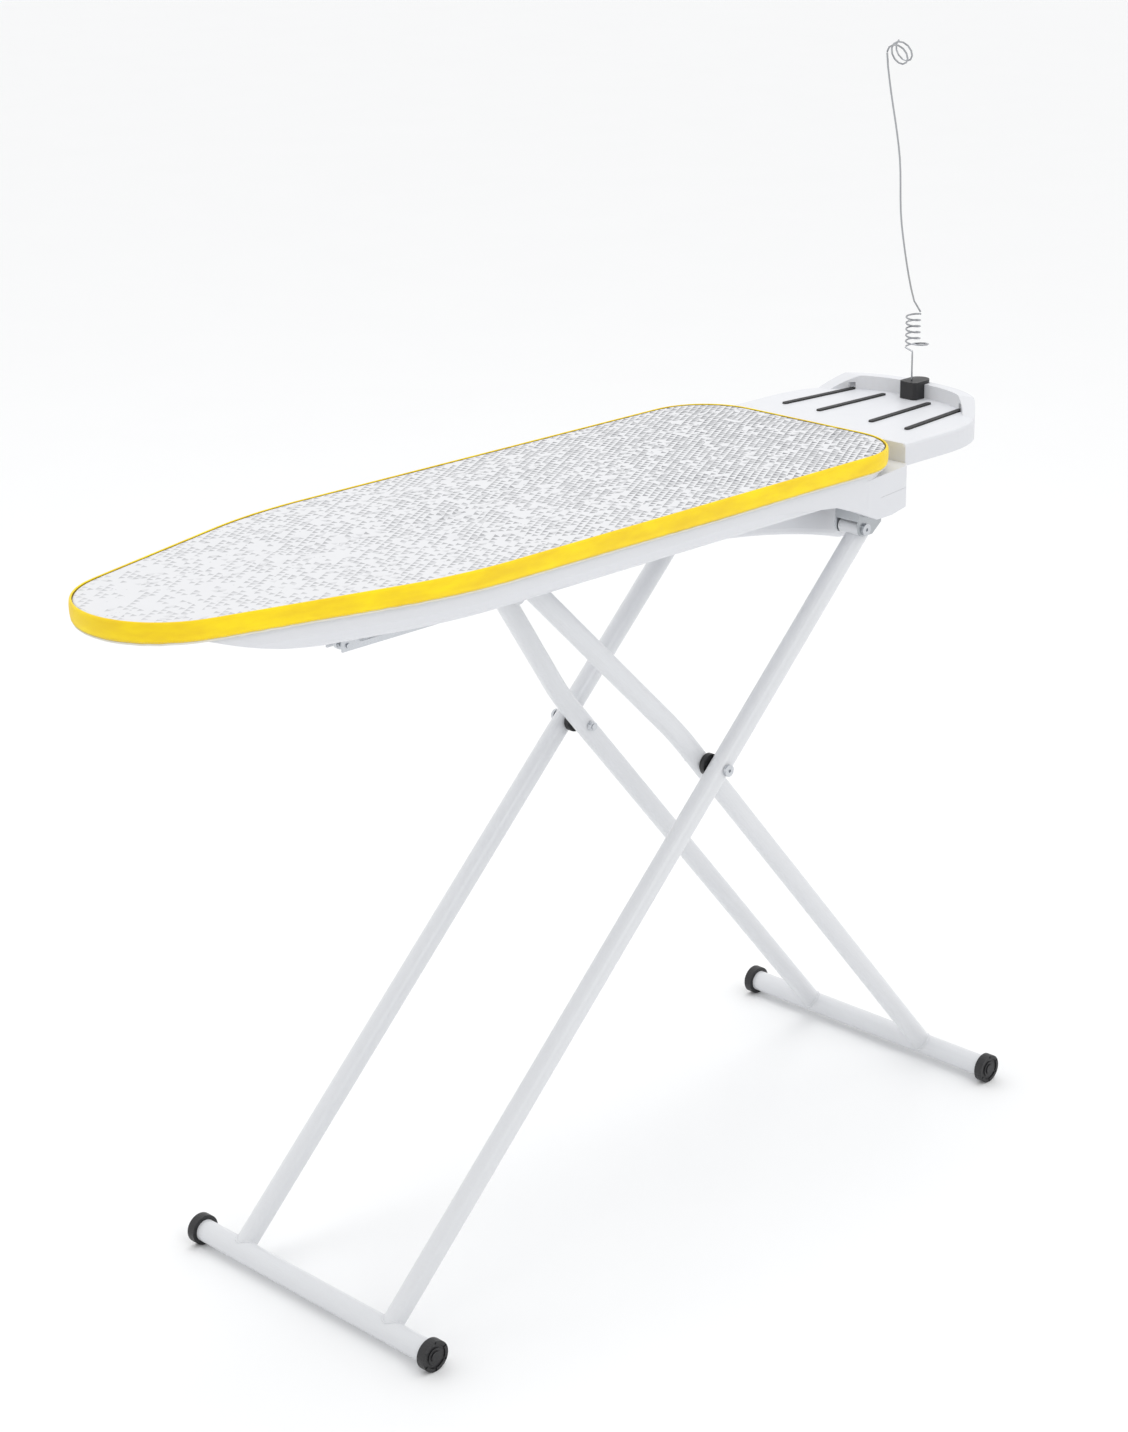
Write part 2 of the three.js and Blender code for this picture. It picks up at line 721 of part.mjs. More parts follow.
function buildMotorCover() {
  const lobes = cut(
    prism(shellOutline(0), lobeBottomZ - 5, matingZ).intersect(profile(casingSide(0), -300, 300)),
    box(-900, coverFrontX, -300, 300, 0, boardTop),
    box(0, lobeBeamX, -pocketOuterY, pocketOuterY, 0, boardTop));
  const hollowBeam = cut(
    prism(shellOutline(shellWall), lobeBottomZ + shellWall + 3, matingZ + 5),
    box(-900, lobeBeamX + shellWall, -300, 300, 0, boardTop));
  const belly = bellyBody(0).intersect(box(-900, 900, -300, 300, 0, matingZ));
  const hollow = bellyBody(shellWall);
  const vents = [];
  for (let i = 0; i < ventCount; i += 1) {
    const x = fanX + (i - (ventCount - 1) / 2) * ventPitch;
    vents.push(box(x - ventWidth / 2, x + ventWidth / 2, -ventHalfLength, ventHalfLength,
      hullBottom - 100, hullBottom - bellyDepthFront));
  }
  const seat = matingZ - coverScrewWell;
  const posts = coverScrewPlaces.map(([x, y]) => upright(
    x, y, seat - 100, matingZ, bossRadius, 16).intersect(bellyBody(0)));
  const holes = coverScrewPlaces.map(
    ([x, y]) => upright(x, y, seat - 1, matingZ + 5, screwRadius + holeClearance, 12));
  const wells = coverScrewPlaces.map(
    ([x, y]) => upright(x, y, seat - 110, seat, screwHeadRadius + gap, 16));
  const cover = join(cut(join(lobes, belly), hollow, hollowBeam, ...vents), ...posts);
  add('motor_cover', cut(cover, ...holes, ...wells), whitePlastic);
}

function buildCoverScrews() {
  coverScrewPlaces.forEach(([x, y], i) => {
    const head = matingZ - coverScrewWell - gap;
    const screw = join(
      upright(x, y, head - screwHeadHeight, head, screwHeadRadius, 12),
      upright(x, y, head - 1, hullBottom + coverBossHeight - 3, screwRadius, 12));
    add(`cover_screw_${i + 1}`, screw, zincSteel);
  });
}

// ---------------------------------------------------------------- iron tray

function trayScrewPlaces() {
  return [[-trayScrewY, fittingZ], [trayScrewY, fittingZ]];
}

// The raised lip round the end of the tray, running down to the deck at both ends.
function lipBody(outer, inner, drop) {
  const ring = cut(
    prism(trayOutline(outer), trayDeckZ - trayWall, trayDeckZ + lipHeight - drop),
    prism(trayOutline(inner), trayDeckZ - 50, trayDeckZ + 50));
  const low = trayDeckZ - trayWall - 1;
  const high = trayDeckZ + lipHeight - drop;
  const ramp = outline([
    [lipRampStart + 1.5 * drop, low], [lipRampEnd + 1.5 * drop, high],
    [trayRearX + 10, high], [trayRearX + 10, low],
  ]);
  return ring.intersect(profile(ramp, -300, 300));
}

// A bar with round ends, lying along one of the four places on the tray.
function stripBody([frontY, rearY], width, z0, z1) {
  const length = Math.hypot(stripRearX - stripFrontX, rearY - frontY);
  const angle = Math.atan2(rearY - frontY, stripRearX - stripFrontX);
  const radius = width / 2;
  const shape = new THREE.Shape();
  shape.absarc(0, 0, radius, Math.PI / 2, 1.5 * Math.PI, false);
  shape.absarc(length, 0, radius, -Math.PI / 2, Math.PI / 2, false);
  const options = { depth: z1 - z0, bevelEnabled: false, curveSegments: 4 };
  const geometry = new THREE.ExtrudeGeometry(shape, options);
  geometry.rotateZ(angle);
  geometry.translate(stripFrontX, frontY, z0);
  return solid(geometry);
}

function buildTray() {
  const blank = roundedPrism(trayOutline(0), trayBottomZ - 10, trayDeckZ, trayEdge, trayEdge, 2);
  const body = cut(blank, box(0, 900, -300, 300, 0, trayBottomZ));
  const hollow = prism(trayOutline(trayWall), trayBottomZ - 20, trayDeckZ - trayWall).intersect(
    box(trayFrontX + trayWall, 900, -300, 300, 0, boardTop));
  const squareFront = box(trayFrontX, trayFrontX + trayWall, -trayHalfWidth + trayEdge,
    trayHalfWidth - trayEdge, trayBottomZ, trayDeckZ);
  const flange = box(trayFrontX, trayFrontX + trayWall, -flangeHalfWidth, flangeHalfWidth,
    trayBottomZ - flangeDrop, trayDeckZ - trayWall);
  const ribs = [-1.5, -0.5, 0.5, 1.5].map((place) => place * ribSpacing).map((y) => box(
    trayFrontX + 1, stripRearX, y - ribHalfThickness, y + ribHalfThickness,
    trayBottomZ + 4, trayDeckZ - trayWall + 1));
  const seats = stripPlaces.map((place) => stripBody(place, stripWidth + 2 * gap,
    trayDeckZ - stripSeat, trayDeckZ + 10));
  const pads = stripPlaces.map((place) => stripBody(place, stripWidth + 6,
    trayDeckZ - trayWall - stripSeat, trayDeckZ - 1));
  const screwHoles = trayScrewPlaces().map(([y, z]) => rod(
    point(trayFrontX - 5, y, z), point(trayFrontX + 10, y, z), screwRadius + holeClearance, 12));
  const shell = cut(join(body, lipBody(0, lipWidth, 0), squareFront),
    hollow, lipBody(trayWall, lipWidth - trayWall, trayWall));
  const tray = join(shell, flange, ...ribs, ...pads);
  add('iron_tray', cut(tray, ...seats, ...screwHoles), whitePlastic);
}

function buildTrayScrews() {
  trayScrewPlaces().forEach(([y, z], i) => {
    const face = trayFrontX + trayWall + gap;
    const screw = join(
      rod(point(face, y, z), point(face + screwHeadHeight, y, z), screwHeadRadius, 12),
      rod(point(rearWallX - 10, y, z), point(face + 1, y, z), screwRadius, 12));
    add(`tray_screw_${i + 1}`, screw, zincSteel);
  });
}

function buildStrips() {
  stripPlaces.forEach((place, i) => {
    const strip = stripBody(place, stripWidth, trayDeckZ - stripSeat + gap,
      trayDeckZ - stripSeat + stripHeight);
    add(`rest_strip_${i + 1}`, strip, blackRubber);
  });
}

// ---------------------------------------------------------------- cord arm

function buildSocket() {
  const top = trayDeckZ + lipHeight + socketRise;
  const rear = trayRearX + socketHook;
  const plan = new THREE.Shape();
  plan.moveTo(socketFrontX + socketCorner, -socketHalfWidth);
  plan.lineTo(rear - socketHalfWidth, -socketHalfWidth);
  plan.absarc(rear - socketHalfWidth, 0, socketHalfWidth, -Math.PI / 2, Math.PI / 2, false);
  plan.lineTo(socketFrontX + socketCorner, socketHalfWidth);
  plan.lineTo(socketFrontX, socketHalfWidth - socketCorner);
  plan.lineTo(socketFrontX, -socketHalfWidth + socketCorner);
  const block = prism(plan, trayDeckZ + gap, top, 8);
  const lip = cut(
    prism(trayOutline(-gap), trayDeckZ - 50, trayDeckZ + lipHeight + gap),
    prism(trayOutline(lipWidth + gap), trayDeckZ - 60, trayDeckZ + 50));
  const bore = upright(armX, 0, top - armFootDepth - gap, top + 5, wireRadius + holeClearance, 12);
  add('cable_arm_socket', cut(block, lip, bore), blackPlastic);
}

function armCoilPlaces() {
  const foot = trayDeckZ + lipHeight + socketRise - armFootDepth;
  const points = [point(armX, 0, foot), point(armX, 0, (foot + armStemTop) / 2)];
  points.push(point(armX, 0, armStemTop - coilLead), point(armX, 0, armStemTop));
  const steps = Math.round(coilTurns * stepsPerTurn);
  const bottom = armStemTop + coilLead;
  for (let i = 0; i <= steps; i += 1) {
    const turn = i / stepsPerTurn;
    const angle = coilStart - turn * 2 * Math.PI;
    const large = Math.max(0, Math.sin(Math.min(turn, 1) * Math.PI));
    const radius = coilRadius + (largeTurnRadius - coilRadius) * large;
    const shift = (largeTurnRadius - coilRadius) * large;
    points.push(point(
      armX + radius * Math.cos(angle) - shift * Math.cos(coilStart),
      radius * Math.sin(angle) - shift * Math.sin(coilStart),
      bottom + coilPitch * turn));
  }
  return points;
}

function armTopOfCoil() {
  const angle = coilStart - coilTurns * 2 * Math.PI;
  return point(armX + coilRadius * Math.cos(angle), coilRadius * Math.sin(angle),
    armStemTop + coilLead + coilPitch * coilTurns);
}

function ringStart() {
  const [forwards, up] = armLean[armLean.length - 1];
  return point(armX - forwards, -armTopOfCoil().y, boardTop + up + ringNeck);
}

function armRingPlaces() {
  const along = point(Math.cos(ringTilt), 0, Math.sin(ringTilt));
  const up = point(-Math.sin(ringTilt), 0, Math.cos(ringTilt));
  const start = ringStart();
  const first = ringStartAngle;
  const sideways = point(0, 1, 0);
  const place = (angle, turn) => start.clone()
    .addScaledVector(sideways, ringRadius * (Math.cos(angle) - Math.cos(first)))
    .addScaledVector(up, ringRadius * (Math.sin(angle) - Math.sin(first)))
    .addScaledVector(along, ringPitch * turn);
  const points = [];
  const steps = Math.round(ringTurns * stepsPerTurn);
  for (let i = 0; i <= steps; i += 1) {
    const turn = (i / steps) * ringTurns;
    points.push(place(first + turn * 2 * Math.PI, turn));
  }
  return points;
}

function buildCableArm() {
  const top = armTopOfCoil();
  const y = -top.y;
  add('cable_arm_coil', wire(armCoilPlaces(), wireRadius, 6), chrome);
  const exit = armTopOfCoil().add(point(0, 0, 2 * wireRadius + gap));
  const rodPoints = [exit, point(exit.x - 2, (exit.y + y) / 2, exit.z + 8)];
  for (const [forwards, up] of armLean) {
    rodPoints.push(point(armX - forwards, y, boardTop + up));
  }
  rodPoints.push(ringStart().add(point(0, 0, -wireRadius)));
  const rodCurve = new THREE.CatmullRomCurve3(rodPoints, false, 'centripetal');
  add('cable_arm_rod', wire(rodCurve.getSpacedPoints(20), wireRadius, 6), chrome);
  add('cable_arm_ring', wire(armRingPlaces(), wireRadius, 6), chrome);
}

// ---------------------------------------------------------------- scissor frame

const frontFoot = point(-footX, 0, capRadius);
const rearFoot = point(footX, 0, capRadius);
const crossing = point(crossX, 0, crossZ);
const rearPivot = point(pivotX, 0, pivotZ);
const slider = point(sliderX, 0, pivotZ);

function atSide(place, y) {
  return point(place.x, y, place.z);
}

// The foot of the perpendicular from a pivot to the line through a foot and the crossing.
function nearestOnLeg(foot, pivot) {
  const along = crossing.clone().sub(foot).normalize();
  return foot.clone().addScaledVector(along, pivot.clone().sub(foot).dot(along));
}

function buildOuterLegs() {
  const along = crossing.clone().sub(frontFoot).normalize();
  const top = nearestOnLeg(frontFoot, rearPivot).addScaledVector(along, legEnd);
  for (const [name, side] of sides) {
    const y = side * outerLegY;
    const ends = [atSide(frontFoot, y), atSide(top, y)];
    const tube = rod(...ends, legRadius, 24);
    const sleeve = crossRod(pivotX, pivotZ, y - sleeveLength / 2, y + sleeveLength / 2, sleeveRadius, 24);
    const bore = rod(ends[0], atSide(top.clone().addScaledVector(along, 20), y), legRadius - tubeWall, 24);
    const foot = crossRod(frontFoot.x, capRadius, y - 60, y + 60, barRadius + gap, 32);
    const pinHole = crossRod(pivotX, pivotZ, y - 40, y + 40, boltRadius + holeClearance, 16);
    const crossHole = crossRod(crossX, crossZ, y - 40, y + 40, boltRadius + holeClearance, 16);
    const hollow = cut(bore, crossRod(pivotX, pivotZ, y - 40, y + 40, boltRadius + 3, 24));
    add(`outer_leg_${name}`, cut(join(tube, sleeve), hollow, foot, pinHole, crossHole), whitePaint);
  }
}

// The middle line of an inner leg: straight, a gentle bend, then straight towards the slider.
function innerLegLine(side) {
  const along = crossing.clone().sub(rearFoot).normalize();
  const top = nearestOnLeg(rearFoot, slider);
  const bend = crossing.clone().addScaledVector(along, innerBendRise);
  const upper = atSide(top, side * sliderLegY).sub(atSide(bend, side * innerLegY)).normalize();
  const bendPoint = atSide(bend, side * innerLegY);
  return {
    foot: atSide(rearFoot, side * innerLegY),
    bendStart: bendPoint.clone().addScaledVector(along, -innerBendEasing),
    bendPoint,
    bendEnd: bendPoint.clone().addScaledVector(upper, innerBendEasing),
    top: atSide(top, side * sliderLegY).addScaledVector(upper, legEnd),
    upper,
  };
}

function innerLegBody(line, radius, extra) {
  const bend = new THREE.QuadraticBezierCurve3(line.bendStart, line.bendPoint, line.bendEnd);
  const top = line.top.clone().addScaledVector(line.upper, extra);
  return wire([line.foot, ...bend.getPoints(4), top], radius, 24);
}

function buildInnerLegs() {
  for (const [name, side] of sides) {
    const line = innerLegLine(side);
    const y = side * innerLegY;
    const sleeveY = side * sliderLegY;
    const half = sliderSleeveLength / 2;
    const outer = innerLegBody(line, legRadius, 0);
    const bore = innerLegBody(line, legRadius - tubeWall, 20);
    const sleeve = crossRod(slider.x, slider.z, sleeveY - half, sleeveY + half, sleeveRadius, 24);
    const web = profile(outline([
      [slider.x - 5, slider.z + 6], [slider.x + 12, slider.z - 6],
      [line.top.x + 6, line.top.z - 22], [line.top.x - 10, line.top.z - 4]]), sleeveY - 4, sleeveY + 4);
    const axleHole = crossRod(slider.x, slider.z, sleeveY - 40, sleeveY + 40, axleRadius + holeClearance, 20);
    const crossHole = crossRod(crossX, crossZ, y - 40, y + 40, boltRadius + holeClearance, 16);
    const foot = crossRod(rearFoot.x, capRadius, y - 60, y + 60, barRadius + gap, 32);
    const leg = cut(outer, bore, foot, crossHole);
    add(`inner_leg_${name}`, cut(join(leg, cut(join(sleeve, web), bore)), axleHole), whitePaint);
  }
}

function buildFootBar(name, place) {
  const half = barLength / 2;
  const bar = cut(
    crossRod(place.x, capRadius, -half, half, barRadius, 32),
    crossRod(place.x, capRadius, -half - 1, half + 1, barRadius - tubeWall, 32));
  add(name, bar, whitePaint);
}

// A cap with a flat facet underneath, a raised hub and shallow notches round its face.
function capBody(x, side) {
  const start = barLength / 2 + gap;
  const end = start + capLength;
  const geometry = new THREE.CylinderGeometry(1, 1, capLength, capFacets);
  const corner = capRadius / Math.cos(Math.PI / capFacets);
  geometry.rotateY(Math.PI / capFacets);
  geometry.scale(corner, 1, corner);
  geometry.translate(x, side * (start + end) / 2, capRadius);
  const plug = crossRod(x, capRadius, side * (start - capPlugLength), side * (start + 2),
    barRadius - tubeWall - gap, 20);
  const hub = crossRod(x, capRadius, side * (end - 2), side * (end + capHubHeight), capHubRadius, 16);
  const face = [];
  for (let i = 0; i < capNotches; i += 1) {
    const angle = (i + 0.5) * 2 * Math.PI / capNotches;
    const notch = new THREE.BoxGeometry(6, 5, 2.4);
    notch.translate(capRadius - 3.5, 0, 0);
    notch.rotateY(angle);
    notch.translate(x, side * (end + 1.2), capRadius);
    face.push(solid(notch));
  }
  const [inner, outer] = capRecessRadii;
  const recess = cut(
    crossRod(x, capRadius, side * (end - 1.5), side * (end + 1), outer, 20),
    crossRod(x, capRadius, side * (end - 4), side * (end + 4), inner, 16));
  return cut(join(solid(geometry), plug, hub), recess, ...face);
}

function buildFeet() {
  buildFootBar('front_foot_bar', frontFoot);
  buildFootBar('rear_foot_bar', rearFoot);
  for (const [name, side] of sides) {
    add(`front_cap_${name}`, capBody(frontFoot.x, side), blackPlastic);
    add(`rear_cap_${name}`, capBody(rearFoot.x, side), blackPlastic);
  }
}

// A bolt across the board from its head, outside, to the end of its thread, inside.
function boltBody(x, z, side, outerY, innerY) {
  const head = crossRod(x, z, side * outerY, side * (outerY + boltHeadHeight), boltHeadRadius, 24);
  const shank = crossRod(x, z, side * innerY, side * (outerY + 1), boltRadius, 16);
  const face = outerY + boltHeadHeight;
  const key = crossRod(x, z, side * (face - boltKeyDepth), side * (face + 2), boltKeyRadius, 6);
  return cut(join(head, shank), key);
}

function nutBody(x, z, side, outerY) {
  return cut(
    crossRod(x, z, side * (outerY - nutHeight), side * outerY, nutRadius, 6),
    crossRod(x, z, side * (outerY - nutHeight - 3), side * (outerY + 3), boltRadius + gap, 16));
}

function buildCrossing() {
  for (const [name, side] of sides) {
    const head = outerLegY + legRadius + gap;
    const nut = innerLegY - legRadius - gap;
    const tip = nut - nutHeight - threadPastNut;
    add(`cross_bolt_${name}`, boltBody(crossX, crossZ, side, head, tip), zincSteel);
    add(`cross_nut_${name}`, nutBody(crossX, crossZ, side, nut), zincSteel);
    const start = innerLegY + legRadius + gap;
    const end = innerLegY + legRadius + crossSpacerLength - gap;
    const spacer = cut(
      crossRod(crossX, crossZ, side * start, side * end, spacerRadius, 24),
      crossRod(crossX, crossZ, side * (start - 5), side * (end + 5), boltRadius + gap, 16));
    add(`cross_spacer_${name}`, spacer, blackPlastic);
  }
}

// ---------------------------------------------------------------- pivot brackets

// Side view of a bracket cheek, rounded under the pivot.
function cheekShape() {
  const bottom = bracketRoofZ - gap - bracketHeight;
  const top = bracketRoofZ - gap;
  const shape = new THREE.Shape();
  shape.moveTo(bracketFrontX, top);
  shape.lineTo(bracketFrontX, bottom + bracketCorner);
  shape.absarc(bracketFrontX + bracketCorner, bottom + bracketCorner, bracketCorner,
    Math.PI, 1.5 * Math.PI, false);
  shape.lineTo(bracketRearX - 2 * bracketCorner, bottom);
  shape.lineTo(bracketRearX, bottom + 1.5 * bracketCorner);
  shape.lineTo(bracketRearX, top);
  return shape;
}

function buildBrackets() {
  const top = bracketRoofZ - gap;
  const inner = cheekInner;
  const outer = cheekInner + bracketWall;
  for (const [name, side] of sides) {
    const y = side * outerLegY;
    const cheeks = [[-outer, -inner], [inner, outer]].map(
      ([a, b]) => profile(cheekShape(), y + a, y + b, 5));
    const roof = box(bracketFrontX, bracketRearX, y - outer, y + outer, top - bracketWall, top);
    const front = box(bracketFrontX, bracketFrontX + bracketWall, y - outer, y + outer,
      top - bracketFrontPlate, top);
    const hole = crossRod(pivotX, pivotZ, y - 60, y + 60, boltRadius + holeClearance, 16);
    add(`pivot_bracket_${name}`, cut(join(...cheeks, roof, front), hole), greySteel);
    const head = outerLegY + outer + gap;
    const nut = outerLegY - outer - gap;
    const tip = nut - nutHeight - threadPastNut;
    add(`pivot_bolt_${name}`, boltBody(pivotX, pivotZ, side, head, tip), zincSteel);
    add(`pivot_nut_${name}`, nutBody(pivotX, pivotZ, side, nut), zincSteel);
  }
}

// ---------------------------------------------------------------- rail, slider and lock

function railScrewPlaces() {
  return [sliderX + railScrewBehind, sliderX + railScrewBehind - railScrewPitch];
}

function railHoles() {
  return railScrewPlaces().map((x) => upright(x, 0, hullBottom - 30, hullBottom + 6,
    screwRadius + holeClearance, 12));
}

function buildRail() {
  const top = hullBottom - gap;
  const channel = cut(
    box(railFrontX, railRearX, -railHalfWidth, railHalfWidth, railBottomZ, top),
    box(railFrontX - 1, railRearX + 1, -railHalfWidth + railWall, railHalfWidth - railWall,
      railBottomZ - 1, top - railWall));
  const half = glideRadius + slotClearance;
  const slot = join(
    box(sliderFoldedX, sliderX, -40, 40, pivotZ - half, pivotZ + half),
    crossRod(sliderFoldedX, pivotZ, -40, 40, half, 24),
    crossRod(sliderX, pivotZ, -40, 40, half, 24));
  const pinHole = crossRod(lockPivot().x, lockPivot().z, -40, 40, lockPinRadius + holeClearance, 16);
  const screwHoles = railScrewPlaces().map((x) => upright(x, 0, top - railWall - 5, top + 5,
    screwRadius + holeClearance, 12));
  add('height_rail', cut(channel, slot, pinHole, ...screwHoles), zincSteel);
}

function buildRailScrews() {
  railScrewPlaces().forEach((x, i) => {
    const under = hullBottom - gap - railWall - gap;
    const screw = join(
      upright(x, 0, under - screwHeadHeight, under, screwHeadRadius, 12),
      upright(x, 0, under - 1, hullBottom + shellWall - gap, screwRadius, 12));
    add(`rail_screw_${i + 1}`, screw, zincSteel);
  });
}

function buildSlider() {
  const half = axleLength / 2;
  add('slider_axle', crossRod(slider.x, slider.z, -half, half, axleRadius, 20), zincSteel);
  for (const [name, side] of sides) {
    const inner = railHalfWidth - railWall - glideSideClearance;
    const glide = cut(
      crossRod(slider.x, slider.z, side * inner, side * (inner + glideLength), glideRadius, 24),
      crossRod(slider.x, slider.z, side * (inner - 5), side * (inner + glideLength + 5),
        axleRadius + gap, 20));
    add(`slider_glide_${name}`, glide, blackPlastic);
  }
}

// The pin that the lock bar turns on, at the front end of the rail.
function lockPivot() {
  const top = pivotZ - axleRadius - lockGap;
  return point(railFrontX + lockEyeRadius + 1, 0, top - lockBarDepth / 2 + 1);
}

function buildLock() {
  const top = pivotZ - axleRadius - lockGap;
  const pivot = lockPivot();
  const end = railRearX + leverReach;
  const bar = box(pivot.x, end, -lockHalfThickness, lockHalfThickness, top - lockBarDepth, top);
  const eye = crossRod(pivot.x, pivot.z, -lockHalfThickness, lockHalfThickness, lockEyeRadius, 24);
  const notches = [];
  for (let i = 0; i < notchCount; i += 1) {
    const x = sliderX - i * notchPitch;
    const radius = axleRadius + slotClearance;
    notches.push(crossRod(x, top + radius - notchDepth, -10, 10, radius, 16));
  }
  const hole = crossRod(pivot.x, pivot.z, -10, 10, lockPinRadius + holeClearance, 16);
  add('lock_bar', cut(join(bar, eye), ...notches, hole), zincSteel);
  add('lock_pin', crossRod(pivot.x, pivot.z, -railHalfWidth - 2, railHalfWidth + 2, lockPinRadius, 16),
    zincSteel);
  buildGrip(end, top);
  buildLockSpring(pivot);
}

function buildGrip(end, top) {
  const middle = top - lockBarDepth / 2;
  const shape = new THREE.Shape();
  const half = gripHeight / 2;
  const start = end - gripLength;
  shape.moveTo(start, middle - half + 3);
  shape.quadraticCurveTo((start + end) / 2, middle - half - 2, end, middle - half + 2);
  shape.absarc(end, middle, half - 2, -Math.PI / 2, Math.PI / 2, false);
  shape.lineTo(start, middle + half - 2);
  const grip = cut(
    profile(shape, -gripHalfWidth, gripHalfWidth, 8),
    box(start - 5, end + gap, -lockHalfThickness - gap, lockHalfThickness + gap,
      top - lockBarDepth - gap, top + gap));
  add('lock_grip', grip, blackPlastic);
}

// A torsion spring round the lock pin, between the bar and one side of the rail.
function buildLockSpring(pivot) {
  const radius = lockPinRadius + 2;
  const start = lockHalfThickness + springWireRadius + 1;
  const points = [];
  for (let i = 0; i <= springTurns * 10; i += 1) {
    const angle = i * Math.PI / 5;
    points.push(point(pivot.x + radius * Math.cos(angle), start + springPitch * i / 10,
      pivot.z + radius * Math.sin(angle)));
  }
  add('lock_spring', wire(points, springWireRadius, 4), zincSteel);
}

// ---------------------------------------------------------------- fan unit

const scrollTop = hullBottom + shellWall;
const scrollBottom = scrollTop - scrollHeight;
const plateBottom = scrollTop + gap;
const plateTop = plateBottom + motorPlateThickness;

function buildFan() {
  const cup = cut(
    upright(fanX, 0, scrollBottom, scrollTop, scrollRadius, 40),
    upright(fanX, 0, scrollBottom + scrollWall, scrollTop + 5, scrollRadius - scrollWall, 40),
    upright(fanX, 0, scrollBottom - 5, scrollBottom + 10, inletRadius, 32),
    box(fanX - 2 * scrollRadius, fanX - scrollRadius / 2, -fanOutletHalfWidth, fanOutletHalfWidth,
      scrollBottom + scrollWall + 4, scrollTop - 4));
  add('fan_scroll', cup, greyPlastic);
  const plateHalfWidth = scrollRadius + 5 + motorPlateLap;
  const plate = cut(
    box(fanX - scrollRadius, fanX + scrollRadius, -plateHalfWidth, plateHalfWidth, plateBottom, plateTop),
    upright(fanX, 0, plateBottom - 5, plateTop + 5, shaftRadius + 3, 16));
  add('motor_plate', plate, zincSteel);
  const base = scrollTop - impellerHeight - 2;
  const blades = [];
  for (let i = 0; i < bladeCount; i += 1) {
    const blade = new THREE.BoxGeometry(bladeLength, bladeThickness, impellerHeight - 2);
    blade.rotateZ(bladeAngle);
    blade.translate(impellerRadius - bladeLength / 2, 0, base + impellerHeight / 2);
    blade.rotateZ(i * 2 * Math.PI / bladeCount);
    blade.translate(fanX, 0, 0);
    blades.push(solid(blade));
  }
  const envelope = upright(fanX, 0, base, base + impellerHeight, impellerRadius, 40);
  const wheel = join(
    upright(fanX, 0, base + impellerHeight - 2, base + impellerHeight, impellerRadius, 40),
    upright(fanX, 0, base, base + impellerHeight - 1, shaftRadius + 5, 20),
    ...blades.map((blade) => blade.intersect(envelope)));
  add('fan_impeller', cut(wheel, upright(fanX, 0, base - 5, base + 60, shaftRadius + gap, 16)), greyPlastic);
  const shaftTop = plateTop + 20;
  add('fan_shaft', upright(fanX, 0, base + 2, shaftTop, shaftRadius, 16), zincSteel);
  const motor = cut(
    upright(fanX, 0, plateTop + gap, plateTop + gap + motorHeight, motorRadius, 32),
    upright(fanX, 0, plateTop - 5, shaftTop + 1, shaftRadius + 0.6, 16));
  add('fan_motor', motor, greySteel);
}

// ---------------------------------------------------------------- mains inlet and switch

// A flanged block set into the rear wall.
function fittingBlock(y) {
  const flangeWidth = inletHalfWidth + fittingFlange;
  const flangeHeight = inletHalfHeight + fittingFlange;
  const face = rearWallX + gap;
  return join(
    box(face, face + fittingFlangeThickness, y - flangeWidth, y + flangeWidth,
      fittingZ - flangeHeight, fittingZ + flangeHeight),
    box(rearWallX - inletDepth, rearWallX + 1, y - inletHalfWidth, y + inletHalfWidth,
      fittingZ - inletHalfHeight, fittingZ + inletHalfHeight));
}

function fittingWell(y, halfWidth, halfHeight) {
  return box(rearWallX - inletDepth + 3, rearWallX + 5, y - halfWidth, y + halfWidth,
    fittingZ - halfHeight, fittingZ + halfHeight);
}

function buildInlet() {
  const well = fittingWell(fittingY, inletHalfWidth - fittingWall, inletHalfHeight - fittingWall);
  const pins = [-pinPitch, 0, pinPitch].map((offset) => box(
    rearWallX - inletDepth + 1, rearWallX - 3,
    fittingY + offset - 0.9, fittingY + offset + 0.9, fittingZ - 2.5, fittingZ + 2.5));
  add('mains_inlet', join(cut(fittingBlock(fittingY), well), ...pins), blackPlastic);
}

// The rocker turns about an upright axis and is drawn with its outer half pressed in.
function buildSwitch() {
  const y = -fittingY;
  const well = fittingWell(y, rockerHalfWidth + 1.6, rockerHalfHeight + gap);
  add('switch_bezel', cut(fittingBlock(y), well), blackPlastic);
  const rise = 4 * Math.tan(rockerTilt);
  const face = rockerPivotDepth + 1.5 + rise;
  const plan = outline([
    [rockerPivotDepth - rockerDepth, -4], [rockerPivotDepth - 2, -rockerHalfWidth],
    [face, -rockerHalfWidth], [rockerPivotDepth + 1, 0], [face, rockerHalfWidth],
    [rockerPivotDepth - 2, rockerHalfWidth], [rockerPivotDepth - rockerDepth, 4],
  ]);
  const geometry = new THREE.ExtrudeGeometry(plan, { depth: 2 * rockerHalfHeight, bevelEnabled: false });
  geometry.rotateZ(-rockerTilt);
  geometry.translate(rearWallX - rockerPivotDepth, y, fittingZ - rockerHalfHeight);
  const rocker = solid(geometry);
  add('switch_rocker', rocker, blackPlastic);
}

// ---------------------------------------------------------------- assembly

buildCover();
buildFoam();
buildPan();
buildShell();
buildShellScrews();
buildMotorCover();
buildCoverScrews();
buildTray();
buildTrayScrews();
buildStrips();
buildSocket();
buildCableArm();
buildOuterLegs();
buildInnerLegs();
buildFeet();
buildCrossing();
buildBrackets();
buildRail();
buildRailScrews();
buildSlider();
buildLock();
buildFan();
buildInlet();
buildSwitch();

// The object's length runs from the nose to the end of the tray's socket.
const wholeLengthMiddle = (noseX + trayRearX + socketHook) / 2;
board.position.x = -wholeLengthMiddle;

export default board;
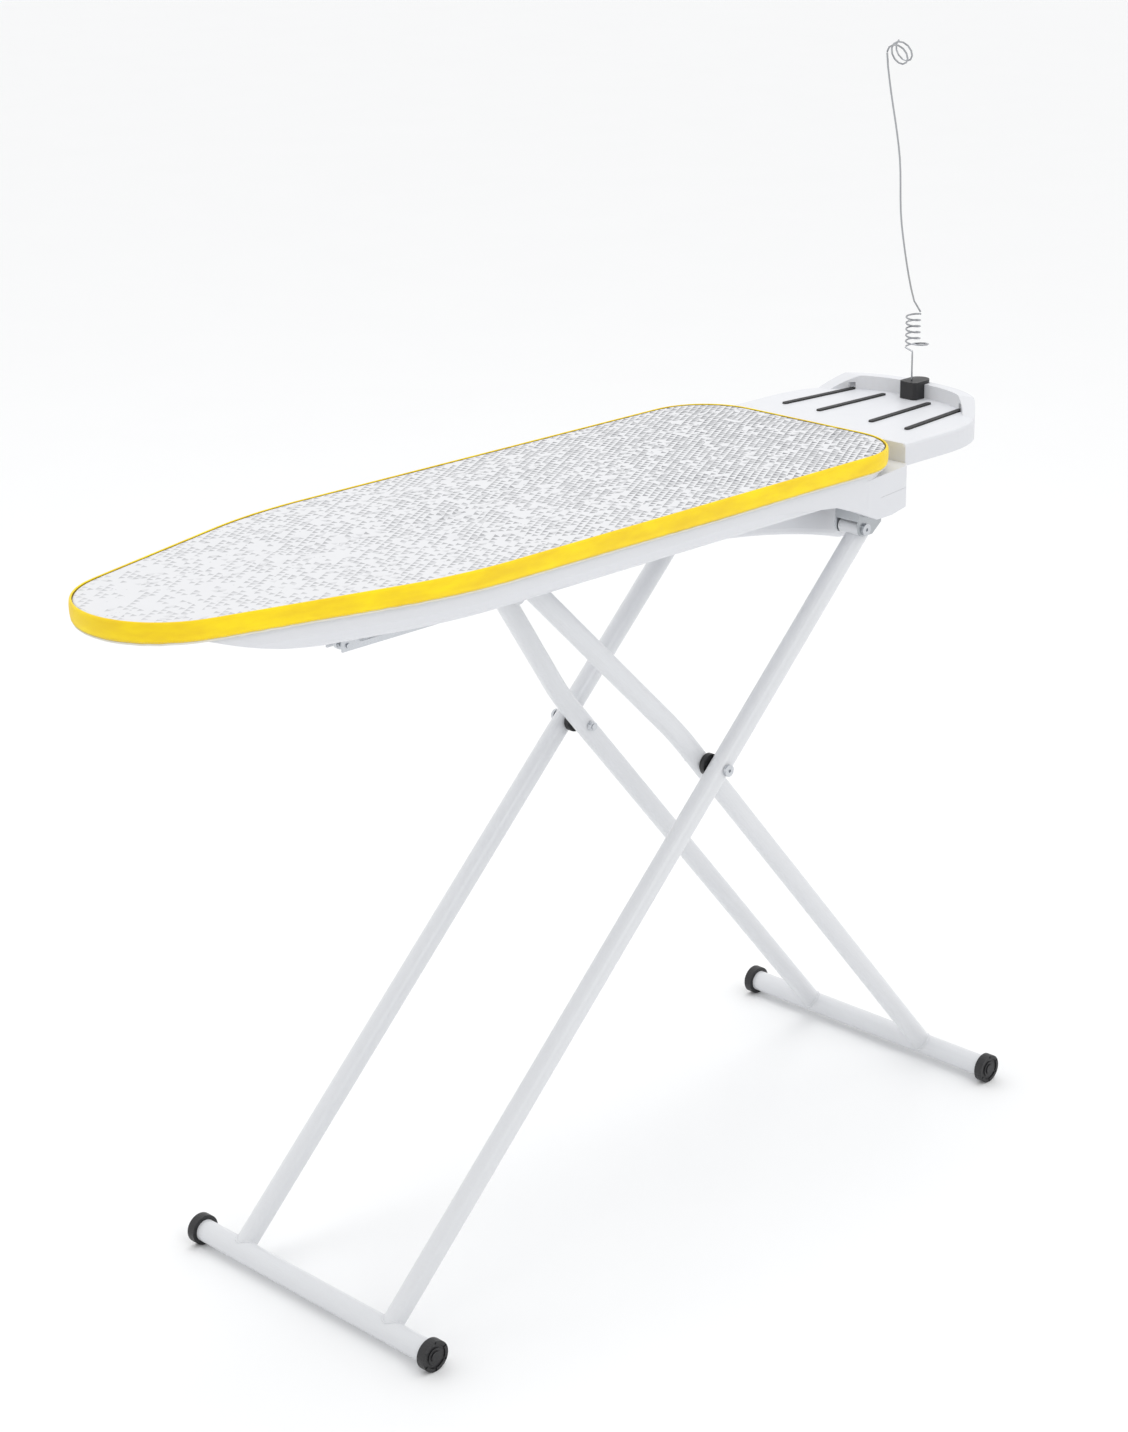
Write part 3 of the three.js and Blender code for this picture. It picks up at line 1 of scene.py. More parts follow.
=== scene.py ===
"""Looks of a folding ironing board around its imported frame. Everything is in metres.

+X runs along the board from its nose to the iron tray, +Y across it and +Z up.
"""

import json
import math

import bpy
from mathutils import Matrix, Vector, noise


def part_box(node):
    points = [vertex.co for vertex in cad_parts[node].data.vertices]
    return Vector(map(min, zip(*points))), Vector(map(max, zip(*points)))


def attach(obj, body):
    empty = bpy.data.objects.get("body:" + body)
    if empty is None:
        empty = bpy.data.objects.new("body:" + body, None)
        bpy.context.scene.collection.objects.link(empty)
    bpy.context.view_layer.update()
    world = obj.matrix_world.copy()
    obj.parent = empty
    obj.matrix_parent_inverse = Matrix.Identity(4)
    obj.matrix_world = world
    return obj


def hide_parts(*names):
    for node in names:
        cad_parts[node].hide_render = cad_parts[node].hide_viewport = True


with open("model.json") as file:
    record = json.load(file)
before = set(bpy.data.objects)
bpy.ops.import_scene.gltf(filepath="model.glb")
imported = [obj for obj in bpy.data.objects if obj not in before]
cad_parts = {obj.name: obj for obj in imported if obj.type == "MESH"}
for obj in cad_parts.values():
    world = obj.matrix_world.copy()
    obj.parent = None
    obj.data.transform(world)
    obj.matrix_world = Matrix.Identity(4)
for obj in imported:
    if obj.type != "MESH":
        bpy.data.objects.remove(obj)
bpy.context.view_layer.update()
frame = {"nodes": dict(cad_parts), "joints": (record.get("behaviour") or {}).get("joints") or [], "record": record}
nodes = frame["nodes"]
mm = 0.001
cover_low, cover_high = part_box("cover_fabric")

# ---------------------------------------------------------------- camera and light

CAMERA_PLACE = Vector((-2.5851, -2.6346, 1.9822))
CAMERA_YAW = math.radians(44.478)
CAMERA_PITCH = math.radians(19.528)
CAMERA_ROLL = math.radians(-0.770)
CAMERA_LENS = 76.0

WORLD_FACING = (-0.62, -0.76, 0.18)     # the side that the camera stands on
WORLD_AWAY_STRENGTH = 1.06
WORLD_FACING_STRENGTH = 0.72
KEY_POWER = 22
TOP_POWER = 26
FLOOR_REACH = 40.0
FLOOR_DROP = 0.0005                     # keeps the floor just under the feet


def make_camera():
    data = bpy.data.cameras.new("camera")
    data.lens = CAMERA_LENS
    data.sensor_width = 36.0
    data.sensor_fit = "AUTO"
    data.clip_end = 200.0
    forward = Vector((
        math.sin(CAMERA_YAW) * math.cos(CAMERA_PITCH),
        math.cos(CAMERA_YAW) * math.cos(CAMERA_PITCH),
        -math.sin(CAMERA_PITCH)))
    level = Vector((math.cos(CAMERA_YAW), -math.sin(CAMERA_YAW), 0))
    upright = level.cross(forward)
    right = math.cos(CAMERA_ROLL) * level + math.sin(CAMERA_ROLL) * upright
    up = -math.sin(CAMERA_ROLL) * level + math.cos(CAMERA_ROLL) * upright
    turn = Matrix((right, up, -forward)).transposed().to_4x4()
    camera = bpy.data.objects.new("camera", data)
    camera.matrix_world = Matrix.Translation(CAMERA_PLACE) @ turn
    bpy.context.scene.collection.objects.link(camera)
    bpy.context.scene.camera = camera


def area_light(name, place, target, size, power):
    data = bpy.data.lights.new(name, "AREA")
    data.shape = "DISK"
    data.size = size
    data.energy = power
    light = bpy.data.objects.new(name, data)
    light.location = place
    aim = Vector(target) - Vector(place)
    light.rotation_euler = aim.to_track_quat("-Z", "Y").to_euler()
    bpy.context.scene.collection.objects.link(light)


def make_world():
    world = bpy.data.worlds.new("studio")
    bpy.context.scene.world = world
    world.use_nodes = True
    tree = world.node_tree
    background = tree.nodes["Background"]
    background.inputs["Color"].default_value = (1.0, 1.0, 1.0, 1.0)
    coordinates = tree.nodes.new("ShaderNodeTexCoord")
    front = tree.nodes.new("ShaderNodeVectorMath")
    front.operation = "DOT_PRODUCT"
    front.inputs[1].default_value = WORLD_FACING
    tree.links.new(coordinates.outputs["Generated"], front.inputs[0])
    strength = tree.nodes.new("ShaderNodeMapRange")
    strength.inputs["From Min"].default_value = 0.35
    strength.inputs["From Max"].default_value = 0.95
    strength.inputs["To Min"].default_value = WORLD_AWAY_STRENGTH
    strength.inputs["To Max"].default_value = WORLD_FACING_STRENGTH
    tree.links.new(front.outputs["Value"], strength.inputs["Value"])
    tree.links.new(strength.outputs["Result"], background.inputs["Strength"])


def make_studio():
    scene = bpy.context.scene
    scene.view_settings.view_transform = "Standard"
    scene.view_settings.look = "None"
    make_world()
    area_light("key", (-0.9, -3.4, 2.9), (0.1, 0, 0.5), 2.2, KEY_POWER)
    area_light("top", (0.5, 0.6, 4.2), (0, 0, 0.6), 2.6, TOP_POWER)
    mesh = bpy.data.meshes.new("floor")
    corners = [(-1, -1), (1, -1), (1, 1), (-1, 1)]
    mesh.from_pydata([(x * FLOOR_REACH, y * FLOOR_REACH, 0) for x, y in corners], [], [(0, 1, 2, 3)])
    floor = bpy.data.objects.new("floor", mesh)
    floor.location.z = -FLOOR_DROP
    scene.collection.objects.link(floor)
    surface = Surface("floor_white", (0.93, 0.935, 0.94), 0.7)
    grain = surface.noise(3.0, 2.0)
    surface.colour(surface.blend(grain, (0.925, 0.93, 0.935), (0.94, 0.945, 0.95)))
    floor.data.materials.append(surface.material)


# ---------------------------------------------------------------- node materials


class Surface:
    """A principled material whose colour, roughness and relief come from nodes."""

    def __init__(self, name, colour, roughness, metallic=0.0):
        self.material = bpy.data.materials.new(name)
        self.material.use_nodes = True
        self.material.diffuse_color = (*colour, 1.0)
        self.tree = self.material.node_tree
        self.shader = self.tree.nodes["Principled BSDF"]
        self.shader.inputs["Base Color"].default_value = (*colour, 1.0)
        self.shader.inputs["Roughness"].default_value = roughness
        self.shader.inputs["Metallic"].default_value = metallic
        self.place = self.new("ShaderNodeTexCoord").outputs["Object"]

    def new(self, kind, **settings):
        node = self.tree.nodes.new(kind)
        for key, value in settings.items():
            setattr(node, key, value)
        return node

    def put(self, value, socket):
        if isinstance(value, bpy.types.NodeSocket):
            self.tree.links.new(value, socket)
        elif isinstance(value, (tuple, list)) and len(value) == 3 and socket.type == "RGBA":
            socket.default_value = (*value, 1.0)
        else:
            socket.default_value = value

    def math(self, operation, a, b=0.0, c=0.0):
        node = self.new("ShaderNodeMath", operation=operation)
        for value, socket in zip((a, b, c), node.inputs):
            self.put(value, socket)
        return node.outputs[0]

    def scaled(self, scale):
        node = self.new("ShaderNodeMapping")
        self.put(self.place, node.inputs["Vector"])
        node.inputs["Scale"].default_value = scale
        return node.outputs["Vector"]

    def noise(self, scale, detail=2.0, roughness=0.5, vector=None):
        node = self.new("ShaderNodeTexNoise")
        self.put(vector or self.place, node.inputs["Vector"])
        node.inputs["Scale"].default_value = scale
        node.inputs["Detail"].default_value = detail
        node.inputs["Roughness"].default_value = roughness
        return node.outputs["Fac"]

    def range(self, value, low, high, to_low, to_high):
        node = self.new("ShaderNodeMapRange")
        self.put(value, node.inputs["Value"])
        ends = {"From Min": low, "From Max": high, "To Min": to_low, "To Max": to_high}
        for name, number in ends.items():
            self.put(number, node.inputs[name])
        return node.outputs["Result"]

    def blend(self, factor, first, second):
        node = self.new("ShaderNodeMix", data_type="RGBA")
        self.put(factor, node.inputs[0])
        self.put(first, node.inputs[6])
        self.put(second, node.inputs[7])
        return node.outputs[2]

    def split(self):
        node = self.new("ShaderNodeSeparateXYZ")
        self.put(self.place, node.inputs[0])
        return node.outputs

    def colour(self, value):
        self.put(value, self.shader.inputs["Base Color"])

    def roughness(self, value):
        self.put(value, self.shader.inputs["Roughness"])

    def relief(self, height, strength, depth):
        node = self.new("ShaderNodeBump")
        node.inputs["Strength"].default_value = strength
        node.inputs["Distance"].default_value = depth
        self.put(height, node.inputs["Height"])
        self.put(node.outputs["Normal"], self.shader.inputs["Normal"])


def moulded_plastic(name, colour, roughness, grain_scale, grain_depth, variation=0.03, coat=0.0):
    """Injection moulded plastic: faint cloudiness in its colour and gloss, and a fine grain."""
    surface = Surface(name, colour, roughness)
    cloud = surface.noise(7.0, 3.0)
    darker = tuple(c * (1 - variation) for c in colour)
    surface.colour(surface.blend(cloud, darker, colour))
    wear = surface.noise(38.0, 4.0)
    surface.roughness(surface.range(wear, 0.3, 0.7, roughness - 0.05, roughness + 0.07))
    grain = surface.noise(grain_scale, 2.0)
    surface.relief(grain, 0.35, grain_depth)
    surface.shader.inputs["Coat Weight"].default_value = coat
    surface.shader.inputs["Coat Roughness"].default_value = 0.25
    return surface.material


def powder_coat(name, colour):
    """Baked paint on steel tube, with its orange-peel skin."""
    surface = Surface(name, colour, 0.34)
    cloud = surface.noise(5.0, 2.0)
    surface.colour(surface.blend(cloud, tuple(c * 0.975 for c in colour), colour))
    peel = surface.noise(520.0, 2.0)
    surface.roughness(surface.range(peel, 0.3, 0.7, 0.28, 0.4))
    surface.relief(peel, 0.3, 0.00025)
    surface.shader.inputs["Coat Weight"].default_value = 0.25
    surface.shader.inputs["Coat Roughness"].default_value = 0.18
    return surface.material


def bare_metal(name, colour, roughness, stretch=(1, 1, 1), depth=0.00012):
    """Plated or drawn metal with fine lines along one direction."""
    surface = Surface(name, colour, roughness, 1.0)
    lines = surface.noise(260.0, 3.0, 0.6, surface.scaled(stretch))
    surface.roughness(surface.range(lines, 0.3, 0.7, roughness * 0.75, roughness * 1.35))
    stain = surface.noise(24.0, 4.0)
    surface.colour(surface.blend(stain, tuple(c * 0.86 for c in colour), colour))
    surface.relief(lines, 0.25, depth)
    return surface.material


def rubber(name, colour):
    """Matt rubber with a little dust on it."""
    surface = Surface(name, colour, 0.62)
    dust = surface.noise(90.0, 5.0, 0.65)
    surface.colour(surface.blend(surface.range(dust, 0.45, 0.75, 0.0, 1.0), colour,
                                 tuple(c * 2.1 + 0.004 for c in colour)))
    surface.roughness(surface.range(dust, 0.3, 0.7, 0.52, 0.74))
    surface.relief(surface.noise(900.0, 2.0), 0.4, 0.00012)
    return surface.material


THREAD_PITCH = 0.0011


def weave_height(surface):
    """Plain weave: threads that pass over and under each other."""
    x, y, z = surface.split()
    turns = 2 * math.pi / THREAD_PITCH
    warp = surface.math("SINE", surface.math("MULTIPLY", x, turns))
    weft = surface.math("SINE", surface.math("MULTIPLY", surface.math("ADD", y, z), turns))
    return surface.math("MULTIPLY", warp, weft)


PRINT_SIDE = 0.0100             # length of a printed triangle's sides
PRINT_MARGIN = 0.045            # unprinted edge of a triangle, as a share of its side
PRINT_SHIFT = 900.0             # whole cells, so that no cell has a negative number
PRINT_WHITE = (0.72, 0.725, 0.745)
PRINT_INK = (0.13, 0.135, 0.15)


def printed_cotton(nose_x, rear_x):
    """White cotton with small grey triangles, dense at the rear and thinning out to the nose."""
    surface = Surface("printed_cotton", PRINT_WHITE, 0.88)
    x, y, _ = surface.split()
    row_step = 2 * PRINT_SIDE * math.cos(math.radians(30))
    lengthwise = surface.math("MULTIPLY_ADD", x, 1 / row_step, PRINT_SHIFT)
    crosswise = surface.math("DIVIDE", y, PRINT_SIDE)
    u = surface.math("ADD", lengthwise, crosswise)
    v = surface.math("SUBTRACT", lengthwise, crosswise)
    first = surface.math("FRACT", u)
    second = surface.math("FRACT", v)
    cell = surface.new("ShaderNodeCombineXYZ")
    surface.put(surface.math("FLOOR", u), cell.inputs[0])
    surface.put(surface.math("FLOOR", v), cell.inputs[1])
    draws = []
    for layer in (0.0, 17.0, 31.0):
        offset = surface.new("ShaderNodeVectorMath", operation="ADD")
        surface.put(cell.outputs[0], offset.inputs[0])
        offset.inputs[1].default_value = (0.0, 0.0, layer)
        draw = surface.new("ShaderNodeTexWhiteNoise", noise_dimensions="3D")
        surface.put(offset.outputs[0], draw.inputs["Vector"])
        draws.append(draw.outputs["Value"])
    chance, shade, other_chance = draws
    patches = surface.noise(30.0, 3.0, 0.6)
    share = surface.range(x, nose_x, rear_x, 0.0, 1.0)
    density = surface.math("ADD", surface.range(share, 0.0, 1.0, 0.52, 1.02),
                           surface.range(patches, 0.35, 0.65, -0.30, 0.12))
    printed = surface.math("LESS_THAN", chance, density)
    total = surface.math("ADD", first, second)
    inside = surface.math("LESS_THAN", total, 1.0 - PRINT_MARGIN)
    left = surface.math("GREATER_THAN", first, PRINT_MARGIN)
    low = surface.math("GREATER_THAN", second, PRINT_MARGIN)
    triangle = surface.math("MULTIPLY", surface.math("MULTIPLY", inside, left), low)
    ink = surface.math("MULTIPLY", triangle, printed)
    beyond = surface.math("GREATER_THAN", total, 1.0 + PRINT_MARGIN)
    filled = surface.math("LESS_THAN", other_chance, surface.range(share, 0.0, 1.0, 0.05, 0.42))
    depth = surface.range(share, 0.0, 1.0, 0.34, 1.0)
    depth = surface.math("MULTIPLY", depth, surface.range(shade, 0.0, 1.0, 0.70, 1.0))
    pale = surface.math("MULTIPLY", surface.math("MULTIPLY", beyond, filled), 0.36)
    amount = surface.math("MULTIPLY", surface.math("ADD", ink, pale), depth)
    thread = weave_height(surface)
    fuzz = surface.noise(60.0, 3.0)
    white = surface.blend(fuzz, tuple(c * 0.965 for c in PRINT_WHITE), PRINT_WHITE)
    surface.colour(surface.blend(amount, white, PRINT_INK))
    surface.roughness(surface.range(fuzz, 0.3, 0.7, 0.82, 0.94))
    surface.relief(surface.math("ADD", thread, surface.math("MULTIPLY", fuzz, 0.8)), 0.22, 0.00025)
    surface.shader.inputs["Sheen Weight"].default_value = 0.12
    surface.shader.inputs["Sheen Roughness"].default_value = 0.5
    return surface.material


def yellow_cotton():
    """The plain yellow edge band, with painted shade that darkens its colour where the crease relief dips."""
    surface = Surface("yellow_cotton", (0.98, 0.72, 0.0), 0.82)
    crease_relief_and_shade = surface.noise(16.0, 4.0, 0.55, surface.scaled((1.0, 1.0, 3.0)))
    # painted shade: the noise that raises the crease relief also darkens the yellow where that relief is low
    surface.colour(surface.blend(surface.range(crease_relief_and_shade, 0.32, 0.68, 0.0, 1.0),
                                 (0.88, 0.60, 0.0), (1.0, 0.76, 0.0)))
    surface.roughness(surface.range(crease_relief_and_shade, 0.3, 0.7, 0.76, 0.9))
    surface.relief(surface.math("ADD", weave_height(surface),
                                surface.math("MULTIPLY", crease_relief_and_shade, 1.2)), 0.3, 0.0003)
    surface.shader.inputs["Sheen Weight"].default_value = 0.15
    return surface.material


def hem_cotton():
    """The undyed elastic edge below the band."""
    surface = Surface("hem_cotton", (0.70, 0.68, 0.60), 0.86)
    tint = surface.noise(70.0, 3.0)
    surface.colour(surface.blend(tint, (0.66, 0.62, 0.46), (0.76, 0.75, 0.72)))
    surface.relief(surface.noise(900.0, 2.0), 0.4, 0.0002)
    return surface.material


# ---------------------------------------------------------------- meshes


def link(name, points, faces, material):
    """A new smooth-shaded piece from its points and faces."""
    mesh = bpy.data.meshes.new(name)
    mesh.from_pydata(points, [], faces)
    mesh.validate()
    mesh.materials.append(material)
    for polygon in mesh.polygons:
        polygon.use_smooth = True
    piece = bpy.data.objects.new(name, mesh)
    bpy.context.scene.collection.objects.link(piece)
    return piece


def apply_modifiers(piece):
    """Replaces the piece's mesh with its modified one."""
    depsgraph = bpy.context.evaluated_depsgraph_get()
    mesh = bpy.data.meshes.new_from_object(piece.evaluated_get(depsgraph))
    piece.modifiers.clear()
    piece.data = mesh


OUTLINE_SMOOTHING = 3


def cover_outline(count):
    """The cover's plan outline as evenly spaced points, with their outward directions."""
    middle = Vector(((cover_low.x + cover_high.x) / 2, 0, 0))
    rim = [v.co for v in nodes["cover_fabric"].data.vertices if v.co.z > cover_high.z - 1e-4]
    corners = {}
    for co in rim:
        corners[(round(co.x, 5), round(co.y, 5))] = Vector((co.x, co.y, 0))
    ring = sorted(corners.values(), key=lambda p: math.atan2(p.y - middle.y, p.x - middle.x))
    lengths = [(ring[i] - ring[i - 1]).length for i in range(len(ring))]
    total = sum(lengths)
    points = []
    for k in range(count):
        aim = total * k / count
        i = 0
        while aim > lengths[i]:
            aim -= lengths[i]
            i += 1
        points.append(ring[i - 1].lerp(ring[i], aim / lengths[i]))
    smooth = points
    for _ in range(OUTLINE_SMOOTHING):
        smooth = [(smooth[i - 1] + smooth[i] * 2 + smooth[(i + 1) % count]) / 4 for i in range(count)]
    outward = []
    for i in range(count):
        along = smooth[(i + 1) % count] - smooth[i - 1]
        outward.append(Vector((along.y, -along.x, 0)).normalized())
    return smooth, outward, total


def ripple(place, scale, seed):
    """Smooth noise over the plan, from about -1 to 1."""
    return noise.noise(Vector((place.x * scale, place.y * scale, seed)))


TOP_POINTS = 300
TOP_RINGS = 22
PAD_EDGE = [                    # inwards from the outline, down from the top
    (2.2, -10.0), (1.6, -7.5), (1.7, -5.0), (2.4, -2.6), (3.9, -0.9), (6.2, -0.15),
]
SPINE_FRONT = 0.10              # the rings close on a line that starts this far behind the nose
SPINE_REAR = 0.17
SPINE_REACH = 0.995             # share of the way to that line, which keeps the last ring open
UNDER_INSET = 5.0 * mm
UNDER_RISE = 0.4 * mm
HELD_RINGS = 2                  # tucked rings that the swelling leaves in place
TOP_SWELL = 1.6 * mm            # the cap on a point's travel, which every point of the top reaches
EDGE_SWELL = 0.8 * mm
SWELL_FRAMES = 14
SWELL_PRESSURE = 1.2


def make_cover_top(material):
    """The printed pad: foam and cotton as one stuffed piece, with its edge tucked under the band."""
    outline, outward, _ = cover_outline(TOP_POINTS)
    foam_low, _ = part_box("foam_pad")
    spine_front = cover_low.x + SPINE_FRONT
    spine_rear = cover_high.x - SPINE_REAR
    points, rings = [], []

    def add_ring(make):
        start = len(points)
        points.extend(make(i) for i in range(TOP_POINTS))
        rings.append(start)

    def at(i, inset, z):
        place = outline[i] - outward[i] * inset
        return Vector((place.x, place.y, z))

    def towards_spine(start, share):
        centre = Vector((min(max(start.x, spine_front), spine_rear), 0, start.z))
        return start.lerp(centre, share * SPINE_REACH)

    for inset, drop in PAD_EDGE:
        add_ring(lambda i: at(i, inset * mm, cover_high.z + drop * mm))
    rim = [at(i, PAD_EDGE[-1][0] * mm, cover_high.z) for i in range(TOP_POINTS)]
    for k in range(1, TOP_RINGS + 1):
        add_ring(lambda i: towards_spine(rim[i], k / TOP_RINGS))
    faces = []
    for first, second in zip(rings, rings[1:]):
        for i in range(TOP_POINTS):
            j = (i + 1) % TOP_POINTS
            faces.append((first + i, first + j, second + j, second + i))
    inner_top = rings[-1]
    under = len(points)
    inner_under = under + TOP_POINTS
    for share in (0.0, 1.0):
        for i in range(TOP_POINTS):
            base = at(i, UNDER_INSET, foam_low.z + UNDER_RISE)
            points.append(towards_spine(base, share))
    for i in range(TOP_POINTS):
        j = (i + 1) % TOP_POINTS
        faces.append((under + i, under + j, rings[0] + j, rings[0] + i))
        faces.append((inner_under + i, inner_under + j, under + j, under + i))
    faces.append(tuple(inner_top + i for i in range(TOP_POINTS)))
    faces.append(tuple(inner_under + i for i in reversed(range(TOP_POINTS))))
    pad = link("cover_pad", points, faces, material)
    top_start, top_end = rings[len(PAD_EDGE) - 1], under
    rest = [v.co.copy() for v in pad.data.vertices]
    swell_pad(pad, range(rings[HELD_RINGS], top_end))
    for i, vertex in enumerate(pad.data.vertices):
        moved = vertex.co - rest[i]
        allowed = TOP_SWELL if top_start <= i < top_end else EDGE_SWELL
        if moved.length > allowed:
            vertex.co = rest[i] + moved.normalized() * allowed
    for i in range(top_start, top_end):
        co = pad.data.vertices[i].co
        co.z += 0.5 * mm * ripple(co, 9.0, 3.1) + 0.25 * mm * ripple(co, 26.0, 8.4)
    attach(pad, "board")
    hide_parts("cover_fabric", "foam_pad")


def swell_pad(pad, free):
    """Moves the free points by a pressure simulation, with the tucked edge and underside held.

    The travel overruns the caps everywhere, so only its directions come from the simulation.
    """
    group = pad.vertex_groups.new(name="held")
    loose = set(free)
    held = [v.index for v in pad.data.vertices if v.index not in loose]
    group.add(held, 1.0, "REPLACE")
    cloth = pad.modifiers.new("swell", "CLOTH")
    settings = cloth.settings
    settings.quality = 5
    settings.mass = 0.3
    settings.vertex_group_mass = "held"
    settings.tension_stiffness = 20
    settings.compression_stiffness = 20
    settings.shear_stiffness = 10
    settings.bending_stiffness = 2.0
    settings.use_pressure = True
    settings.uniform_pressure_force = SWELL_PRESSURE
    settings.effector_weights.gravity = 0
    cloth.collision_settings.use_collision = False
    scene = bpy.context.scene
    cloth.point_cache.frame_start = 1
    cloth.point_cache.frame_end = SWELL_FRAMES
    for step in range(1, SWELL_FRAMES + 1):
        scene.frame_set(step)
    apply_modifiers(pad)
    scene.frame_set(1)
    pad.vertex_groups.clear()


BAND_POINTS = 760
BAND_PROFILE = [                # outwards from the outline, down from the top
    (-2.7, -1.3), (-1.9, -0.35), (-0.8, -0.55), (0.2, -1.9), (0.8, -4.4), (1.1, -8.0),
    (1.1, -12.5), (0.8, -17.0), (0.3, -20.5), (-0.5, -23.2), (-1.9, -24.9), (-4.2, -25.6),
]
GATHER_START = 4                # first row of the band that the gathers reach
GATHERS = 118                   # round the whole hem
HEM_PROFILE = [(-1.4, -25.0), (-1.8, -26.5), (-3.0, -27.8), (-4.9, -28.2), (-7.0, -27.7), (-9.0, -26.8)]
BAND_THICKNESS = 0.7 * mm
HEM_THICKNESS = 0.6 * mm


def gather(place, lap):
    """How far the elastic's gathers push the cloth out at a place along the hem, from -1 to 1."""
    slow = noise.noise(Vector((place.x * 14.0, place.y * 14.0, 1.7)))
    fast = noise.noise(Vector((place.x * 46.0, place.y * 46.0, 5.2)))
    fine = math.sin(lap * 2 * math.pi * GATHERS + 3.0 * slow)
    return 0.55 * fast + 0.45 * fine * (0.55 + slow)


def band_place(outline, outward, i, row, profile, lift=0.0):
    out, drop = profile
    share = max(0.0, (row - GATHER_START) / (len(BAND_PROFILE) - 1 - GATHER_START))
    push = gather(outline[i], i / BAND_POINTS)
    wave = noise.noise(Vector((outline[i].x * 7.0, outline[i].y * 7.0, 9.3)))
    out = out + push * 1.15 * share ** 1.5 + 0.35 * wave
    drop = drop + (0.9 * push + 1.1 * wave) * share ** 2
    place = outline[i] + outward[i] * ((out + lift) * mm)
    return Vector((place.x, place.y, cover_high.z + drop * mm))


def band_strip(name, outline, outward, rows, material):
    """A closed strip round the cover through rows of (row of the band, profile)."""
    points = []
    for row, profile in rows:
        points.extend(band_place(outline, outward, i, row, profile) for i in range(BAND_POINTS))
    faces = []
    for row in range(len(rows) - 1):
        for i in range(BAND_POINTS):
            j = (i + 1) % BAND_POINTS
            faces.append((row * BAND_POINTS + i, (row + 1) * BAND_POINTS + i,
                          (row + 1) * BAND_POINTS + j, row * BAND_POINTS + j))
    strip = link(name, points, faces, material)
    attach(strip, "board")
    return strip


def make_band(material, hem_material, stitch_material):
    """The yellow band round the edge with its gathered hem, pale elastic edge and stitching."""
    outline, outward, total = cover_outline(BAND_POINTS)
    band = band_strip("cover_band", outline, outward, list(enumerate(BAND_PROFILE)), material)
    thicken(band, BAND_THICKNESS)
    last = len(BAND_PROFILE) - 1
    hem = band_strip("cover_hem", outline, outward, [(last, place) for place in HEM_PROFILE], hem_material)
    thicken(hem, HEM_THICKNESS)
    make_stitches(outline, outward, stitch_material)


def thicken(piece, thickness):
    modifier = piece.modifiers.new("thickness", "SOLIDIFY")
    modifier.thickness = thickness
    modifier.offset = -1.0


STITCH_RADIUS = 0.28 * mm
STITCH_ROW = 9                  # row of the band that carries the stitches
STITCH_LIFT = 0.12
STITCH_LENGTH = 0.68            # share of the step from one stitch to the next
STITCH_SIDES = 5
STITCH_RINGS = [(0.0, 0.4), (0.25, 1.0), (0.75, 1.0), (1.0, 0.4)]   # share of length, of radius


def make_stitches(outline, outward, material):
    """Short thread stitches along the hem, just above the gathered edge."""
    profile = BAND_PROFILE[STITCH_ROW]
    points, faces = [], []
    for i in range(BAND_POINTS):
        j = (i + 1) % BAND_POINTS
        start = band_place(outline, outward, i, STITCH_ROW, profile, STITCH_LIFT)
        following = band_place(outline, outward, j, STITCH_ROW, profile, STITCH_LIFT)
        end = start.lerp(following, STITCH_LENGTH)
        side = outward[i]
        up = (end - start).normalized().cross(side).normalized()
        base = len(points)
        for share, size in STITCH_RINGS:
            for k in range(STITCH_SIDES):
                angle = 2 * math.pi * k / STITCH_SIDES
                turned = side * math.cos(angle) + up * math.sin(angle)
                points.append(start.lerp(end, share) + turned * STITCH_RADIUS * size)
        for ring in range(len(STITCH_RINGS) - 1):
            first = base + ring * STITCH_SIDES
            second = first + STITCH_SIDES
            for k in range(STITCH_SIDES):
                m = (k + 1) % STITCH_SIDES
                faces.append((first + k, first + m, second + m, second + k))
        tip = base + (len(STITCH_RINGS) - 1) * STITCH_SIDES
        faces.append(tuple(base + k for k in reversed(range(STITCH_SIDES))))
        faces.append(tuple(tip + k for k in range(STITCH_SIDES)))
    stitches = link("hem_stitches", points, faces, material)
    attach(stitches, "board")


LEG_RADIUS = 14 * mm
BEAD_RADIUS = 1.7 * mm
BEAD_STEPS = 96
BEAD_SIDES = 8
BEAD_WAVES = 16                 # ripples left by the welding passes


def weld_bead(name, body, foot, along, bar_radius, material):
    """A weld bead where a leg tube meets its foot bar."""
    across = Vector((0, 1, 0))
    third = along.cross(across)
    path = []
    for i in range(BEAD_STEPS):
        angle = 2 * math.pi * i / BEAD_STEPS
        reach = math.sqrt(max(bar_radius ** 2 - (LEG_RADIUS * math.sin(angle)) ** 2, 0))
        out = across * math.cos(angle) + third * math.sin(angle)
        path.append((foot + out * LEG_RADIUS + along * reach, out))
    points, faces = [], []
    for i, (place, out) in enumerate(path):
        tangent = (path[(i + 1) % BEAD_STEPS][0] - path[i - 1][0]).normalized()
        lift = tangent.cross(out).normalized()
        size = BEAD_RADIUS * (1.0 + 0.16 * math.sin(i * 2 * math.pi * BEAD_WAVES / BEAD_STEPS)
                              + 0.18 * noise.noise(place * 260.0))
        for k in range(BEAD_SIDES):
            turn = 2 * math.pi * k / BEAD_SIDES
            points.append(place + (out * math.cos(turn) + lift * math.sin(turn)) * size)
    for i in range(BEAD_STEPS):
        first, second = i * BEAD_SIDES, (i + 1) % BEAD_STEPS * BEAD_SIDES
        for k in range(BEAD_SIDES):
            m = (k + 1) % BEAD_SIDES
            faces.append((first + k, first + m, second + m, second + k))
    bead = link(name, points, faces, material)
    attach(bead, body)


